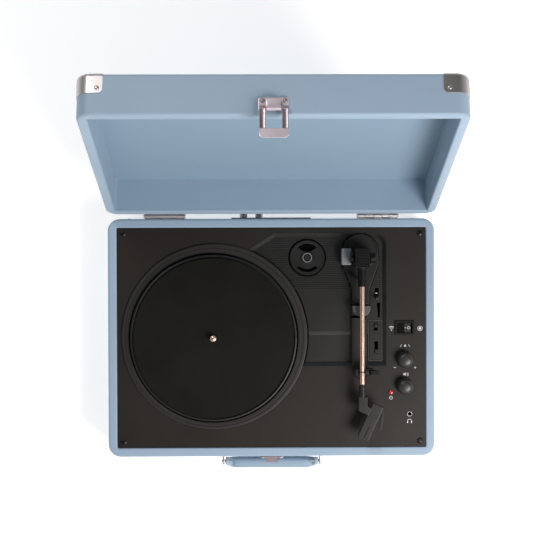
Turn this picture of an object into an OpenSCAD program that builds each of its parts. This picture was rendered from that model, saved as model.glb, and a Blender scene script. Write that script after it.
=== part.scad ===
// Portable suitcase record player: a covered case with a hinged lid, a belt-driven platter,
// a pivoted tonearm and a small control panel. Millimetres, +Z up, +X to the player's right,
// lid hinges at +Y. The lid is drawn open.

/* [Case] */
// Width of the case, left to right
case_w = 350; // [340:1:365]
// Depth of the case, front to back
case_d = 255; // [250:1:265]
// Height of the base without its feet
base_h = 60; // [58:1:68]
// Height of the lid
lid_h = 41; // [41:1:50]
// Thickness of the covered walls
wall = 9.5; // [9:0.5:10.5]
// Plan radius of the upright corners
corner_r = 13; // [12:1:16]
// Angle the lid is opened to
lid_open = 108; // [100:1:112]
// Height of the rubber feet
foot_h = 4; // [3:0.5:6]

/* [Platter] */
// Radius of the platter
platter_r = 89; // [86:0.5:90]
// Radius of the rubber mat
mat_r = 85.3; // [82:0.1:85.3]
// Radius of the spindle that a record's hole fits
spindle_r = 3.6; // [3.55:0.01:3.6]

/* [Tonearm] */
// Outer radius of the arm tube
tube_r = 2.7; // [2.5:0.1:3]
// Angle of the headshell to the arm
shell_angle = 25; // [22:1:27]

/* [Controls] */
// Radius of the pitch and volume knobs
knob_r = 8.8; // [8:0.1:9]
// Height of the knobs above the deck
knob_h = 13; // [10:1:15]

/* [Hidden] */
foot_r = 9;
$fn = 64;

covering = "#8fa9c0";
black = "#262422";
steel = "#c9c6c8";

gap = 0.3;                 // clearance between parts that only lie side by side
run = 0.05;                // radial clearance of a shaft in its bore
seam = 0.3;                // between the rims of the closed case

// Heights from the floor
rim_z = foot_h + base_h;
deck_top = rim_z - 1.5;
deck_t = 5;
deck_under = deck_top - deck_t;
bottom_t = 5;
floor_in = foot_h + bottom_t;

// Hinge line, behind the back wall at the height of the rim
hinge_off = 3;
hinge_y = case_d / 2 + hinge_off;
hinge_x = 113.9;
hinge_len = 43;
barrel_r = 2.4;
leaf_t = 1.2;
leaf_h = 17;
hinge_pin_r = 1.1;

// Metal corners and rivets
cap_t = 0.8;
cap_len = 24;
cap_h = 19.5;
rivet_r = 2.1;
rivet_h = 1.2;

// Handle
handle_reach = 18;         // from the front wall to the front of the grip
handle_axis_y = -case_d / 2 - 8;
handle_axis_z = foot_h + 38;
grip_half = 46;
grip_t = 12;
grip_h = 18;
tab_t = 4.4;
bracket_x = 51.4;
handle_pin_r = 1.5;

// The frame's origin is the middle of the footprint with the lid open, on the floor
rear_reach = hinge_y - (case_d + hinge_off + cap_t) * cos(lid_open) + (lid_h + cap_t) * sin(lid_open);
front_reach = case_d / 2 + handle_reach;
base_y = (front_reach - rear_reach) / 2;

// Latch, in the closed lid's place
latch_w = 27;
latch_axis_y = -case_d / 2 - 4;
latch_axis_z = rim_z + 5.4;
latch_pin_r = 1;
loop_w = 25.6;
loop_bar = 5.6;
loop_t = 1.6;
loop_low = -25;            // lowest edge of the loop, from the rim
hook_w = 12.4;
hook_reach = 8;
loop_bow = 5.9;            // how far the pull bar is bowed forward of the loop's side bars

// Tonearm chassis, in plan from the centre of the case
ring_c = [-61.5, 1];
ring_r = 99.3;
well_r = 91;
plat_c = [-62, 0];
area_top = 112.4;
area_right = 123.8;
area_low = -31.6;
area_corner = 13.7;
floor_hi = deck_top - 3;
floor_lo = deck_top - 4.2;
step_y = 5;                // the floor steps down in front of this line
bevel = 4.6;
ring_top = deck_top + 2;
well_floor = rim_z - 9;
adapter_c = [38.5, 85.5];
adapter_r = 19;

// Platter stack
disc_z = rim_z + 2;
mat_z = rim_z + 4.2;
mat_t = 1.8;
spindle_top = mat_z + mat_t + 10;
shaft_r = 3.0;             // the spindle below the mat, in its bush
belt_rim_r = 62;
belt_t = 0.8;
belt_z = rim_z - 4.4;
belt_h = 3.8;
pulley_r = 5.5;
motor_d = 75;
motor_angle = 135;
motor_c = [plat_c[0] + motor_d * cos(motor_angle), plat_c[1] + motor_d * sin(motor_angle)];

// Tonearm, about its pivot
pivot = [95.5, 85];
arm_z = rim_z + 20;
base_top = deck_top + 1.5;
pear_r = 19.5;
neck_y = 35.2;               // front end of the platform
turret_r = 9.8;
yoke_z = rim_z + 11;
yoke_t = 1.8;
ear_gap = 8.9;
block_w = 17;
block_l = 21;
block_h = 13;
arm_pin_r = 1.5;
sleeve_r = 4.3;
sleeve_end = -30.3;
tube_end = -135.5;
neck_end = -146.5;
shell_mid = [104.1, -88.2];
shell_l = 39;
shell_w = 12.5;
shell_h = 5.5;
lift_angle = 9.5;          // of the finger lift to the arm
rest_c = [95.7, -35.8];
rest_r = 9.5;
cue_c = [95.6, 32.2];
cue_r = 9.8;
cue_travel = 5;
lever_c = [113.3, 46.7];

// Controls, in plan from the centre of the case
rocker_c = [142.8, 10];
pitch_c = [143, -24.2];
volume_c = [143, -52.6];
led_c = [128, -59.2];
phones_c = [148, -82.7];
switch_panel = [103.4, -25.9, 18, 44];
auto_stop_c = [112, 10.9];
speed_c = [112.6, -11.3];
rocker_tilt = 8;
jack_bore_r = 1.8;
shaft_knob_r = 3;

// Rear connectors
rear_plate_w = 86;
rear_plate_h = 30;
rear_z = foot_h + 28;
rca_x = [-30, -13];
aux_x = 7;
dc_x = 28;

// Speakers behind the front wall
speaker_x = 118;
speaker_z = foot_h + 30;
grille_w = 64;
grille_h = 34;
speaker_r = 19;

module on_base() { translate([0, base_y, 0]) children(); }

// Carries what is drawn on the closed lid to where it is on the open one
module on_lid() {
    translate([0, base_y + hinge_y, rim_z])
        rotate([-lid_open, 0, 0])
            translate([0, -hinge_y, -rim_z]) children();
}

module each_corner(dx, dy) {
    for (x = [-dx, dx], y = [-dy, dy]) translate([x, y, 0]) children();
}

// Places children at the middles of the four feet
module each_foot() { each_corner(150, 104) children(); }

// Block with round upright corners, centred in plan and standing on z = 0
module slab(w, d, h, r) {
    translate([-w / 2 + r, -d / 2, 0]) cube([w - 2 * r, d, h]);
    translate([-w / 2, -d / 2 + r, 0]) cube([w, d - 2 * r, h]);
    each_corner(w / 2 - r, d / 2 - r) cylinder(r = r, h = h);
}

// Cylinder from p along +Y
module rod_y(p, r, len) { translate(p) rotate([-90, 0, 0]) cylinder(r = r, h = len); }

// Cylinder from p along +X
module rod_x(p, r, len) { translate(p) rotate([0, 90, 0]) cylinder(r = r, h = len); }

module at(c, z) { translate([c[0], c[1], z]) children(); }

// ---------- case ----------

corner_block = 22;

module base_shell() {
    color(covering) on_base() difference() {
        union() {
            difference() {
                translate([0, 0, foot_h]) slab(case_w, case_d, base_h, corner_r);
                translate([0, 0, foot_h - 1])
                    slab(case_w - 2 * wall, case_d - 2 * wall, base_h + 2, corner_r - wall);
            }
            for (x = [-1, 1], y = [-1, 1])
                translate([
                    x * (case_w / 2 - wall + 0.5 - corner_block / 2) - corner_block / 2,
                    y * (case_d / 2 - wall + 0.5 - corner_block / 2) - corner_block / 2,
                    floor_in
                ]) cube([corner_block, corner_block, deck_under - floor_in]);
        }
        for (x = [-speaker_x, speaker_x])
            translate([x - grille_w / 2 + 4, -case_d / 2 - 1, speaker_z - grille_h / 2 + 4])
                cube([grille_w - 8, wall + 2, grille_h - 8]);
        translate([-rear_plate_w / 2 + 4, case_d / 2 - wall - 1, rear_z - rear_plate_h / 2 + 4])
            cube([rear_plate_w - 8, wall + 2, rear_plate_h - 8]);
        each_corner(159, 111.5) translate([0, 0, deck_under - 10]) cylinder(r = 1.3, h = 11);
        each_foot() translate([0, 0, foot_h]) cylinder(r = 1.3, h = 16);
    }
}

module bottom_panel() {
    color("#6b5a48") on_base() difference() {
        translate([0, 0, foot_h])
            slab(case_w - 2 * (wall + gap), case_d - 2 * (wall + gap), bottom_t, corner_r - wall);
        each_foot() translate([0, 0, foot_h - 1]) cylinder(r = 1.6, h = bottom_t + 2);
    }
}

module bottom_screws() {
    color(steel) on_base() each_foot() {
        translate([0, 0, foot_h - 1.5]) cylinder(r = 2.8, h = 1.5);
        translate([0, 0, foot_h - 1]) cylinder(r = 1.2, h = 15);
    }
}

module rubber_feet() {
    color("#1c1c1c") on_base() each_foot() difference() {
        cylinder(r1 = foot_r - 1, r2 = foot_r, h = foot_h);
        translate([0, 0, -1]) cylinder(r = 3.2, h = foot_h + 2);
    }
}

// A pressed metal corner: the shell outside a case corner, kept near that corner. Corners are at the
// top of a box that stands on z = 0 and is h high.
module corner_cap(x, y, h) {
    difference() {
        intersection() {
            slab(case_w + 2 * cap_t, case_d + 2 * cap_t, h + cap_t, corner_r + cap_t);
            translate([
                x > 0 ? case_w / 2 - cap_len : -case_w / 2 - 2,
                y > 0 ? case_d / 2 - cap_len : -case_d / 2 - 2,
                h - cap_h
            ]) cube([cap_len + 2, cap_len + 2, cap_h + 2]);
        }
        translate([0, 0, -1]) slab(case_w, case_d, h + 1, corner_r);
    }
}

module base_corner_caps() {
    color(steel) on_base() difference() {
        for (x = [-1, 1], y = [-1, 1])
            translate([0, 0, rim_z]) mirror([0, 0, 1]) corner_cap(x, y, base_h);
        each_foot() translate([0, 0, -1]) cylinder(r = foot_r + 0.5, h = foot_h + 1);
    }
}

module lid_corner_caps() {
    color(steel) on_lid() for (x = [-1, 1], y = [-1, 1])
        translate([0, 0, rim_z]) corner_cap(x, y, lid_h);
}

// Domed rivet head standing out along -Y from y = 0
module rivet_head() { rotate([90, 0, 0]) cylinder(r1 = rivet_r, r2 = rivet_r * 0.6, h = rivet_h); }

// The rivets on one box's metal corners, one on each upright face of each corner
module cap_rivets(z) {
    inset = cap_len - 5;
    for (x = [-1, 1]) {
        translate([x * (case_w / 2 - inset), -case_d / 2 - cap_t, z]) rivet_head();
        translate([x * (case_w / 2 - inset), case_d / 2 + cap_t, z]) rotate([0, 0, 180]) rivet_head();
    }
    for (x = [-1, 1], y = [-1, 1])
        translate([x * (case_w / 2 + cap_t), y * (case_d / 2 - inset), z])
            rotate([0, 0, x * 90]) rivet_head();
}

rivet_up = cap_h - 5;

module base_rivets() {
    color(steel) on_base() {
        cap_rivets(foot_h + rivet_up);
        for (x = [-9.6, 9.6])
            translate([x, -case_d / 2 - 1.5, rim_z - 5]) rivet_head();
        for (x = [-hinge_x, hinge_x], dx = [-14, 14])
            translate([x + dx, case_d / 2 + leaf_t, rim_z - 12]) rotate([0, 0, 180]) rivet_head();
    }
}

module lid_rivets() {
    color(steel) on_lid() {
        cap_rivets(rim_z + lid_h - rivet_up);
        for (x = [-10, 10])
            translate([x, -case_d / 2 - 1.6, rim_z + 13.6]) rivet_head();
        for (x = [-hinge_x, hinge_x], dx = [-14, 14])
            translate([x + dx, case_d / 2 + leaf_t, rim_z + 12]) rotate([0, 0, 180]) rivet_head();
    }
}

module lid_shell() {
    color(covering) on_lid() translate([0, 0, rim_z]) difference() {
        translate([0, 0, seam]) slab(case_w, case_d, lid_h - seam, corner_r);
        translate([0, 0, -1])
            slab(case_w - 2 * wall, case_d - 2 * wall, lid_h - 6, corner_r - wall);
    }
}

// ---------- hinges ----------

knuckle = hinge_len / 5;

// Which of the five knuckles belong to a leaf: base leaves have 0, 2 and 4, lid leaves 1 and 3
module hinge_leaf(x, knuckles, up) {
    s = up ? 1 : -1;
    difference() {
        union() {
            translate([x - hinge_len / 2, case_d / 2, up ? rim_z + 3 : rim_z - leaf_h])
                cube([hinge_len, leaf_t, leaf_h - 3]);
            for (k = knuckles) {
                x0 = x - hinge_len / 2 + k * knuckle + 0.1;
                translate([x0, case_d / 2, up ? rim_z : rim_z - 3.5])
                    cube([knuckle - 0.2, leaf_t, 3.5]);
                rod_x([x0, hinge_y, rim_z], barrel_r, knuckle - 0.2);
            }
        }
        rod_x([x - hinge_len, hinge_y, rim_z], hinge_pin_r + run, 2 * hinge_len);
    }
}

module hinge_pin(x) {
    rod_x([x - hinge_len / 2, hinge_y, rim_z], hinge_pin_r, hinge_len);
    for (end = [-1, 1])
        rod_x([x + end * (hinge_len / 2 + 0.5) - 0.5, hinge_y, rim_z], 1.8, 1);
}

module left_hinge_base_leaf() { color(steel) on_base() hinge_leaf(-hinge_x, [0, 2, 4], false); }
module right_hinge_base_leaf() { color(steel) on_base() hinge_leaf(hinge_x, [0, 2, 4], false); }
module left_hinge_lid_leaf() { color(steel) on_lid() hinge_leaf(-hinge_x, [1, 3], true); }
module right_hinge_lid_leaf() { color(steel) on_lid() hinge_leaf(hinge_x, [1, 3], true); }
module left_hinge_pin() { color(steel) on_base() hinge_pin(-hinge_x); }
module right_hinge_pin() { color(steel) on_base() hinge_pin(hinge_x); }

// ---------- latch ----------

module latch_plate() {
    color(steel) on_lid() difference() {
        union() {
            translate([-latch_w / 2, -case_d / 2 - 1.6, rim_z + 4]) cube([latch_w, 1.6, 12.6]);
            translate([-6.6, latch_axis_y, latch_axis_z]) cube([13.2, 4, 10]);
            rod_x([-6.6, latch_axis_y, latch_axis_z], 2, 13.2);
        }
        rod_x([-latch_w, latch_axis_y, latch_axis_z], latch_pin_r, 2 * latch_w);
    }
}

module latch_pin() {
    color(steel) on_lid() rod_x([-loop_w / 2, latch_axis_y, latch_axis_z], latch_pin_r, loop_w);
}

// Frame that hangs from the latch pin; its pull bar is bowed forward to pass over the keeper's hook
module latch_loop() {
    window = loop_w - 2 * loop_bar;
    bar_z = rim_z + loop_low;
    color(steel) on_lid() difference() {
        union() {
            for (x = [-loop_w / 2, loop_w / 2 - loop_bar]) {
                rod_x([x, latch_axis_y, latch_axis_z], 2, loop_bar);
                translate([x, latch_axis_y - loop_t, bar_z + 8.6])
                    cube([loop_bar, loop_t, latch_axis_z - bar_z - 8.6]);
                translate([x, latch_axis_y - loop_bow, bar_z + 7.6])
                    cube([loop_bar, loop_bow, loop_t]);
            }
            translate([-loop_w / 2 + 2, latch_axis_y - loop_bow, bar_z])
                cube([loop_w - 4, loop_t, 8.6]);
            translate([-loop_w / 2, latch_axis_y - loop_bow, bar_z + 2]) cube([loop_w, loop_t, 6.6]);
        }
        rod_x([-latch_w, latch_axis_y, latch_axis_z], latch_pin_r + run, 2 * latch_w);
        translate([-window / 2, latch_axis_y - loop_bow - 1, bar_z + 8.6])
            cube([window, 12, latch_axis_z - bar_z]);
    }
}

// Plate on the base's front wall with a hook that the closed loop lies round
module latch_keeper() {
    front = -case_d / 2;
    color(steel) on_base() {
        translate([-12.5, front - 1.5, rim_z - 17]) cube([25, 1.5, 15]);
        translate([-hook_w / 2, front - hook_reach, rim_z - 10]) cube([hook_w, hook_reach - 1, 1.5]);
        translate([-hook_w / 2, front - hook_reach, rim_z - 13]) cube([hook_w, 1.5, 4]);
    }
}

// ---------- handle ----------

module handle_grip() {
    grip_y = -case_d / 2 - handle_reach + grip_t / 2;
    grip_z = handle_axis_z - 9 - grip_h / 2;
    color(covering) on_base() difference() {
        union() {
            for (z = [-1, 1])
                rod_x([-grip_half, grip_y, grip_z + z * (grip_h - grip_t) / 2], grip_t / 2, 2 * grip_half);
            translate([-grip_half, grip_y - grip_t / 2, grip_z - (grip_h - grip_t) / 2])
                cube([2 * grip_half, grip_t, grip_h - grip_t]);
            for (x = [-grip_half - tab_t + 0.2, grip_half - 0.2]) {
                rod_x([x, handle_axis_y, handle_axis_z], 4.2, tab_t);
                translate([x, handle_axis_y - 4.2, grip_z]) cube([tab_t, 8.4, handle_axis_z - grip_z]);
            }
        }
        rod_x([-60, handle_axis_y, handle_axis_z], handle_pin_r + run, 120);
    }
}

module handle_pins() {
    color(steel) on_base() for (x = [-1, 1])
        rod_x([x > 0 ? grip_half - 3 : -bracket_x - 3, handle_axis_y, handle_axis_z],
            handle_pin_r, bracket_x + 6 - grip_half);
}

// Plate on the wall with one ear that holds the outer end of the pin; x is +1 or -1
module handle_bracket(x) {
    difference() {
        union() {
            translate([x > 0 ? 43 : -56, -case_d / 2 - 1.5, handle_axis_z - 8]) cube([13, 1.5, 16]);
            translate([x > 0 ? bracket_x : -bracket_x - 2, handle_axis_y, handle_axis_z - 4.2])
                cube([2, -case_d / 2 - handle_axis_y, 8.4]);
            rod_x([x > 0 ? bracket_x : -bracket_x - 2, handle_axis_y, handle_axis_z], 4.2, 2);
        }
        rod_x([-60, handle_axis_y, handle_axis_z], handle_pin_r, 120);
    }
}

module left_handle_bracket() { color(steel) on_base() handle_bracket(-1); }
module right_handle_bracket() { color(steel) on_base() handle_bracket(1); }

// ---------- speakers ----------

module speaker_grille(x) {
    slot_n = 7;
    pitch = (grille_h - 10) / slot_n;
    slots_low = speaker_z - grille_h / 2 + 5;
    difference() {
        union() {
            translate([x - grille_w / 2, -case_d / 2 - 1.2, speaker_z - grille_h / 2])
                cube([grille_w, 1.2, grille_h]);
            translate([x - grille_w / 2 + 4 + gap, -case_d / 2, speaker_z - grille_h / 2 + 4 + gap])
                cube([grille_w - 8 - 2 * gap, 3, grille_h - 8 - 2 * gap]);
        }
        for (k = [0 : slot_n - 1])
            translate([x - grille_w / 2 + 7, -case_d / 2 - 2, slots_low + (k + 0.3) * pitch])
                cube([grille_w - 14, 8, pitch * 0.45]);
    }
}

module speaker(x) {
    translate([x, -case_d / 2 + wall, speaker_z]) rotate([-90, 0, 0]) rotate_extrude() polygon([
        [0, 6], [5, 6], [speaker_r - 3, 1], [speaker_r - 3, 0], [speaker_r, 0], [speaker_r, 2],
        [speaker_r - 3, 3], [14, 14], [14, 22], [0, 22]
    ]);
}

module left_speaker_grille() { color(black) on_base() speaker_grille(-speaker_x); }
module right_speaker_grille() { color(black) on_base() speaker_grille(speaker_x); }
module left_speaker() { color("#3a3a3c") on_base() speaker(-speaker_x); }
module right_speaker() { color("#3a3a3c") on_base() speaker(speaker_x); }

// ---------- deck and chassis ----------

// Outline of the sunken tonearm area, grown by g
module area_outline(g) {
    polygon([
        [-24 - g, 95.3 + g], [3 - g * 0.6, area_top + g], [area_right - area_corner, area_top + g],
        [area_right - area_corner, area_top - area_corner], [area_right + g, area_top - area_corner],
        [area_right + g, area_low - g], [30, area_low - g], [-20, 0]
    ]);
    translate([area_right - area_corner, area_top - area_corner]) circle(r = area_corner + g);
}

module plate_outline(g) {
    area_outline(g);
    translate(ring_c) circle(r = ring_r + g);
    translate(rest_c) circle(r = rest_r + g);
}

module deck_panel() {
    color(black) on_base() difference() {
        translate([0, 0, deck_under])
            slab(case_w - 2 * (wall + gap), case_d - 2 * (wall + gap), deck_t, corner_r - wall);
        translate([0, 0, deck_under - 1]) linear_extrude(deck_t + 2) plate_outline(gap);
        each_corner(159, 111.5) translate([0, 0, deck_under - 1]) cylinder(r = 1.8, h = deck_t + 2);
        at([rocker_c[0] - 9.4, rocker_c[1] - 6.6], deck_under - 1) cube([18.8, 13.2, deck_t + 2]);
        at(pitch_c, deck_under - 1) cylinder(r = 4, h = deck_t + 2);
        at(volume_c, deck_under - 1) cylinder(r = 4, h = deck_t + 2);
        at(led_c, deck_under - 1) cylinder(r = 2.5, h = deck_t + 2);
        at(phones_c, deck_under - 1) cylinder(r = 3, h = deck_t + 2);
    }
}

module deck_screws() {
    color("#3b3a3a") on_base() each_corner(159, 111.5) {
        translate([0, 0, deck_top]) difference() {
            cylinder(r1 = 3.2, r2 = 2.6, h = 1);
            for (a = [45, 135]) rotate([0, 0, a]) translate([-1.8, -0.35, 0.4]) cube([3.6, 0.7, 1]);
        }
        translate([0, 0, deck_top - 12]) cylinder(r = 1.2, h = 12);
    }
}

bridge_w = 19.7;

// Bevelled basin that the tonearm area is sunk to: full size at the deck, less the bevel at the floor
module area_basin() {
    hull() {
        translate([0, 0, deck_top]) linear_extrude(1) basin_shape(0.6);
        translate([0, 0, floor_hi]) linear_extrude(0.1) basin_shape(bevel);
    }
}

module basin_shape(in) {
    polygon([
        [-24 + in * 0.7, 95.3 - in], [3 + in * 0.35, area_top - in],
        [area_right - area_corner, area_top - in], [area_right - in, area_top - area_corner],
        [area_right - in, area_low + in], [24, area_low + in]
    ]);
}

module chassis_plate() {
    color(black) on_base() difference() {
        union() {
            translate([0, 0, deck_under]) linear_extrude(deck_t) area_outline(0);
            at(ring_c, well_floor - 2) cylinder(r = ring_r, h = ring_top - well_floor + 2);
            at(rest_c, deck_under) cylinder(r = rest_r, h = deck_top - deck_under + 0.6);
        }
        difference() {
            area_basin();
            at(ring_c, well_floor) cylinder(r = ring_r, h = 20);
            translate([pivot[0] + 0.1 - bridge_w / 2, area_low - 1, floor_lo])
                cube([bridge_w, neck_y - area_low + 1, 10]);
        }
        difference() {
            translate([25, area_low + bevel, floor_lo])
                cube([area_right - 3.4 - 25, step_y - area_low - bevel, 5]);
            at(ring_c, well_floor) cylinder(r = ring_r, h = 20);
            translate([pivot[0] + 0.1 - bridge_w / 2, area_low - 1, floor_lo - 1])
                cube([bridge_w, neck_y - area_low + 1, 10]);
            translate([switch_panel[0], switch_panel[1], floor_lo - 1])
                cube([switch_panel[2], switch_panel[3], floor_hi - floor_lo + 1]);
        }
        at(plat_c, well_floor) cylinder(r = well_r, h = 20);
        at(plat_c, well_floor - 3) cylinder(r = 7, h = 6);
        at(motor_c, well_floor - 3) cylinder(r = 3, h = 6);
        at(adapter_c, floor_hi - 1.5) cylinder(r = adapter_r + 1, h = 5);
        at(cue_c, deck_under - 1) cylinder(r = 2.5 + run, h = 8);
        at([lever_c[0] - 2, lever_c[1] - 6], deck_under - 1) cube([4, 12, 8]);
        at([auto_stop_c[0] - 2, auto_stop_c[1] - 4], deck_under - 1) cube([4, 8, 8]);
        at([speed_c[0] - 2, speed_c[1] - 6.5], deck_under - 1) cube([4, 13, 8]);
        at(pivot, deck_under - 1) cylinder(r = 5, h = 8);
        translate([pivot[0], pivot[1] + 6.5, floor_hi]) cylinder(r = pear_r + 0.1, h = 8);
    }
    // storage post for the adapter
    color(black) on_base() at(adapter_c, floor_hi - 1.5) cylinder(r = 3.3, h = 4.5);
}

module bearing_bush() {
    color("#b08d4f") on_base() at(plat_c, 0) difference() {
        union() {
            translate([0, 0, well_floor - 14]) cylinder(r = 7, h = 14.8);
            translate([0, 0, well_floor]) cylinder(r = 10, h = 0.8);
        }
        translate([0, 0, well_floor - 15]) cylinder(r = shaft_r + run, h = 20);
    }
}

module motor() {
    color("#8f9093") on_base() at(motor_c, 0) {
        translate([0, 0, well_floor - 22]) cylinder(r = 13, h = 20);
        translate([0, 0, well_floor - 4]) cylinder(r = 1, h = 12);
    }
}

module motor_pulley() {
    color("#b08d4f") on_base() at(motor_c, belt_z - 1) difference() {
        union() {
            cylinder(r = pulley_r + 1, h = 0.8);
            cylinder(r = pulley_r, h = belt_h + 2);
            translate([0, 0, belt_h + 1.2]) cylinder(r = pulley_r + 1, h = 0.8);
        }
        translate([0, 0, -1]) cylinder(r = 1 + run, h = 9);
    }
}

// Flat belt round the platter's inner rim and the motor pulley
module drive_belt() {
    slack = 0.03;
    color("#1a1a1a") on_base() translate([0, 0, belt_z]) linear_extrude(belt_h) difference() {
        hull() {
            translate(plat_c) circle(r = belt_rim_r + slack + belt_t, $fn = 160);
            translate(motor_c) circle(r = pulley_r + slack + belt_t);
        }
        hull() {
            translate(plat_c) circle(r = (belt_rim_r + slack) / cos(180 / 160), $fn = 160);
            translate(motor_c) circle(r = (pulley_r + slack) / cos(180 / 64));
        }
    }
}

module platter() {
    hub_r = 9;
    color("#2b2a29") on_base() at(plat_c, 0) rotate_extrude() polygon([
        [shaft_r, well_floor + 1.2], [hub_r, well_floor + 1.2], [hub_r, disc_z],
        [belt_rim_r - 2, disc_z], [belt_rim_r - 2, belt_z - 0.4], [belt_rim_r, belt_z - 0.4],
        [belt_rim_r, disc_z], [platter_r - 2.5, disc_z], [platter_r - 2.5, deck_top - 4],
        [platter_r, deck_top - 4], [platter_r, mat_z + 0.5], [platter_r - 0.6, mat_z + 1.1],
        [mat_r + 0.9, mat_z + 1.1], [mat_r + 0.4, mat_z], [shaft_r, mat_z]
    ]);
}

module platter_mat() {
    color("#1b1a18") on_base() at(plat_c, mat_z) difference() {
        cylinder(r = mat_r, h = mat_t);
        translate([0, 0, -1]) cylinder(r = spindle_r + 0.4, h = 5);
    }
}

module spindle() {
    color("#d9b8a4") on_base() at(plat_c, 0) rotate_extrude() polygon([
        [0, well_floor - 18], [shaft_r - 0.4, well_floor - 18], [shaft_r, well_floor - 17.6],
        [shaft_r, mat_z + mat_t], [spindle_r, mat_z + mat_t],
        [spindle_r, spindle_top - 1.4], [spindle_r - 0.5, spindle_top - 0.5],
        [spindle_r - 1.4, spindle_top], [0, spindle_top]
    ]);
}

module adapter_45() {
    h = 4;
    color(black) on_base() at(adapter_c, floor_hi - 1.3) difference() {
        union() {
            cylinder(r = adapter_r, h = h);
            cylinder(r = 6.2, h = h + 0.8);
        }
        translate([0, 0, -1]) cylinder(r = spindle_r + 0.1, h = 10);
        translate([0, 0, h - 1.2]) difference() {
            cylinder(r = adapter_r - 2.2, h = 3);
            translate([0, 0, -1]) cylinder(r = 9.5, h = 5);
            translate([-20, -7.5, -1]) cube([40, 15, 5]);
        }
    }
}

// ---------- tonearm ----------

// Platform under the pivot, with a post on its left
module arm_base() {
    color(black) on_base() difference() {
        union() {
            hull() {
                translate([pivot[0], pivot[1] + 6.5, floor_hi])
                    cylinder(r = pear_r, h = base_top - floor_hi, $fn = 48);
                translate([pivot[0] - pear_r, 78, floor_hi]) cube([2 * pear_r, 5, base_top - floor_hi]);
                translate([cue_c[0] - cue_r, 52, floor_hi]) cube([2 * cue_r, 1, base_top - floor_hi]);
            }
            translate([cue_c[0] - cue_r, neck_y, floor_hi])
                cube([2 * cue_r, 53.2 - neck_y, base_top - floor_hi]);
            translate([74.5, 77.6, base_top - 1]) cube([10.7, 17.7, rim_z + 10 - base_top + 1]);
        }
        at(pivot, deck_under) cylinder(r = 4 + run, h = 20);
    }
}

module arm_yoke() {
    color("#232323") on_base() difference() {
        union() {
            at(pivot, deck_under - 6) cylinder(r = 4, h = yoke_z - deck_under + 6);
            at(pivot, base_top + gap) cylinder(r = turret_r, h = yoke_z - base_top);
            translate([pivot[0] - 12, pivot[1] - 5.5, yoke_z]) cube([26, 11, yoke_t]);
            translate([pivot[0] - 12, pivot[1] - 5.5, yoke_z]) cube([12 - ear_gap, 11, 13]);
            translate([pivot[0] + ear_gap, pivot[1] - 5.5, yoke_z]) cube([14 - ear_gap, 11, 13]);
        }
        rod_x([pivot[0] - 20, pivot[1], arm_z], arm_pin_r + run, 40);
    }
}

module arm_body() {
    color("#2b2b2b") on_base() {
        difference() {
            translate([pivot[0] - block_w / 2, pivot[1] - block_l / 2, arm_z - 4.5])
                cube([block_w, block_l, block_h]);
            for (k = [0 : 8])
                translate([pivot[0] - block_w / 2 + 1.5, pivot[1] - block_l / 2 + 1.6 + k * 2.1, arm_z + 7.5])
                    cube([block_w - 3, 0.9, 1]);
        }
        rod_x([pivot[0] - 11.5, pivot[1], arm_z], arm_pin_r, 23);
        difference() {
            rod_y([pivot[0], pivot[1] + sleeve_end, arm_z], sleeve_r, -sleeve_end - block_l / 2 + 1);
            rod_y([pivot[0], pivot[1] + sleeve_end - 1, arm_z], tube_r, 16);
        }
    }
}

module arm_tube() {
    color("#d8a98c") on_base() difference() {
        rod_y([pivot[0], pivot[1] + tube_end - 5, arm_z], tube_r, sleeve_end + 14 - tube_end + 5);
        rod_y([pivot[0], pivot[1] + tube_end - 7, arm_z], tube_r - 0.6, 140);
    }
}

module in_shell() { translate([shell_mid[0], shell_mid[1], 0]) rotate([0, 0, -shell_angle]) children(); }

// Bent neck between the tube's ferrule and the headshell's side, in plan
module neck_outline() {
    polygon([[91.3, -61.5], [101, -61.5], [101, -71.5], [105.4, -73.8], [101.8, -81.6], [91.3, -76.6]]);
}

module headshell() {
    color("#302f2e") on_base() difference() {
        union() {
            rod_y([pivot[0], pivot[1] + neck_end - 2, arm_z], 3.6, tube_end - neck_end + 2);
            translate([0, 0, arm_z - 5]) linear_extrude(8.5) neck_outline();
            in_shell() translate([-shell_w / 2, -shell_l / 2, arm_z - 3]) cube([shell_w, shell_l, shell_h]);
            // finger lift, held off the shell's outer side at its root
            in_shell() translate([shell_w / 2 - 1, shell_l / 2 - 8, arm_z - 2]) {
                cube([3.5, 3, 1.6]);
                translate([1, 3, 0]) rotate([0, 0, shell_angle - lift_angle])
                    translate([0, -20, 0]) cube([2.6, 20, 1.6]);
            }
        }
        rod_y([pivot[0], pivot[1] + tube_end - 5, arm_z], tube_r, 20);
    }
}

module cartridge() {
    tip_z = mat_z + mat_t + 1.6;
    color("#1d1c1c") on_base() in_shell() {
        translate([-5.2, -shell_l / 2 + 2, arm_z - 8]) cube([10.4, 20, 5]);
        translate([-2.2, -shell_l / 2 + 2.5, tip_z + 0.9]) cube([4.4, 12, arm_z - 8 - tip_z - 0.9]);
        translate([0, -shell_l / 2 + 4, tip_z]) cylinder(r1 = 0.2, r2 = 0.7, h = 1);
    }
}

clip_axis = [105.2, rim_z + 14.5];
clip_pin_r = 0.95;
clip_open = 42;            // how far the clip is turned back from the tube

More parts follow.
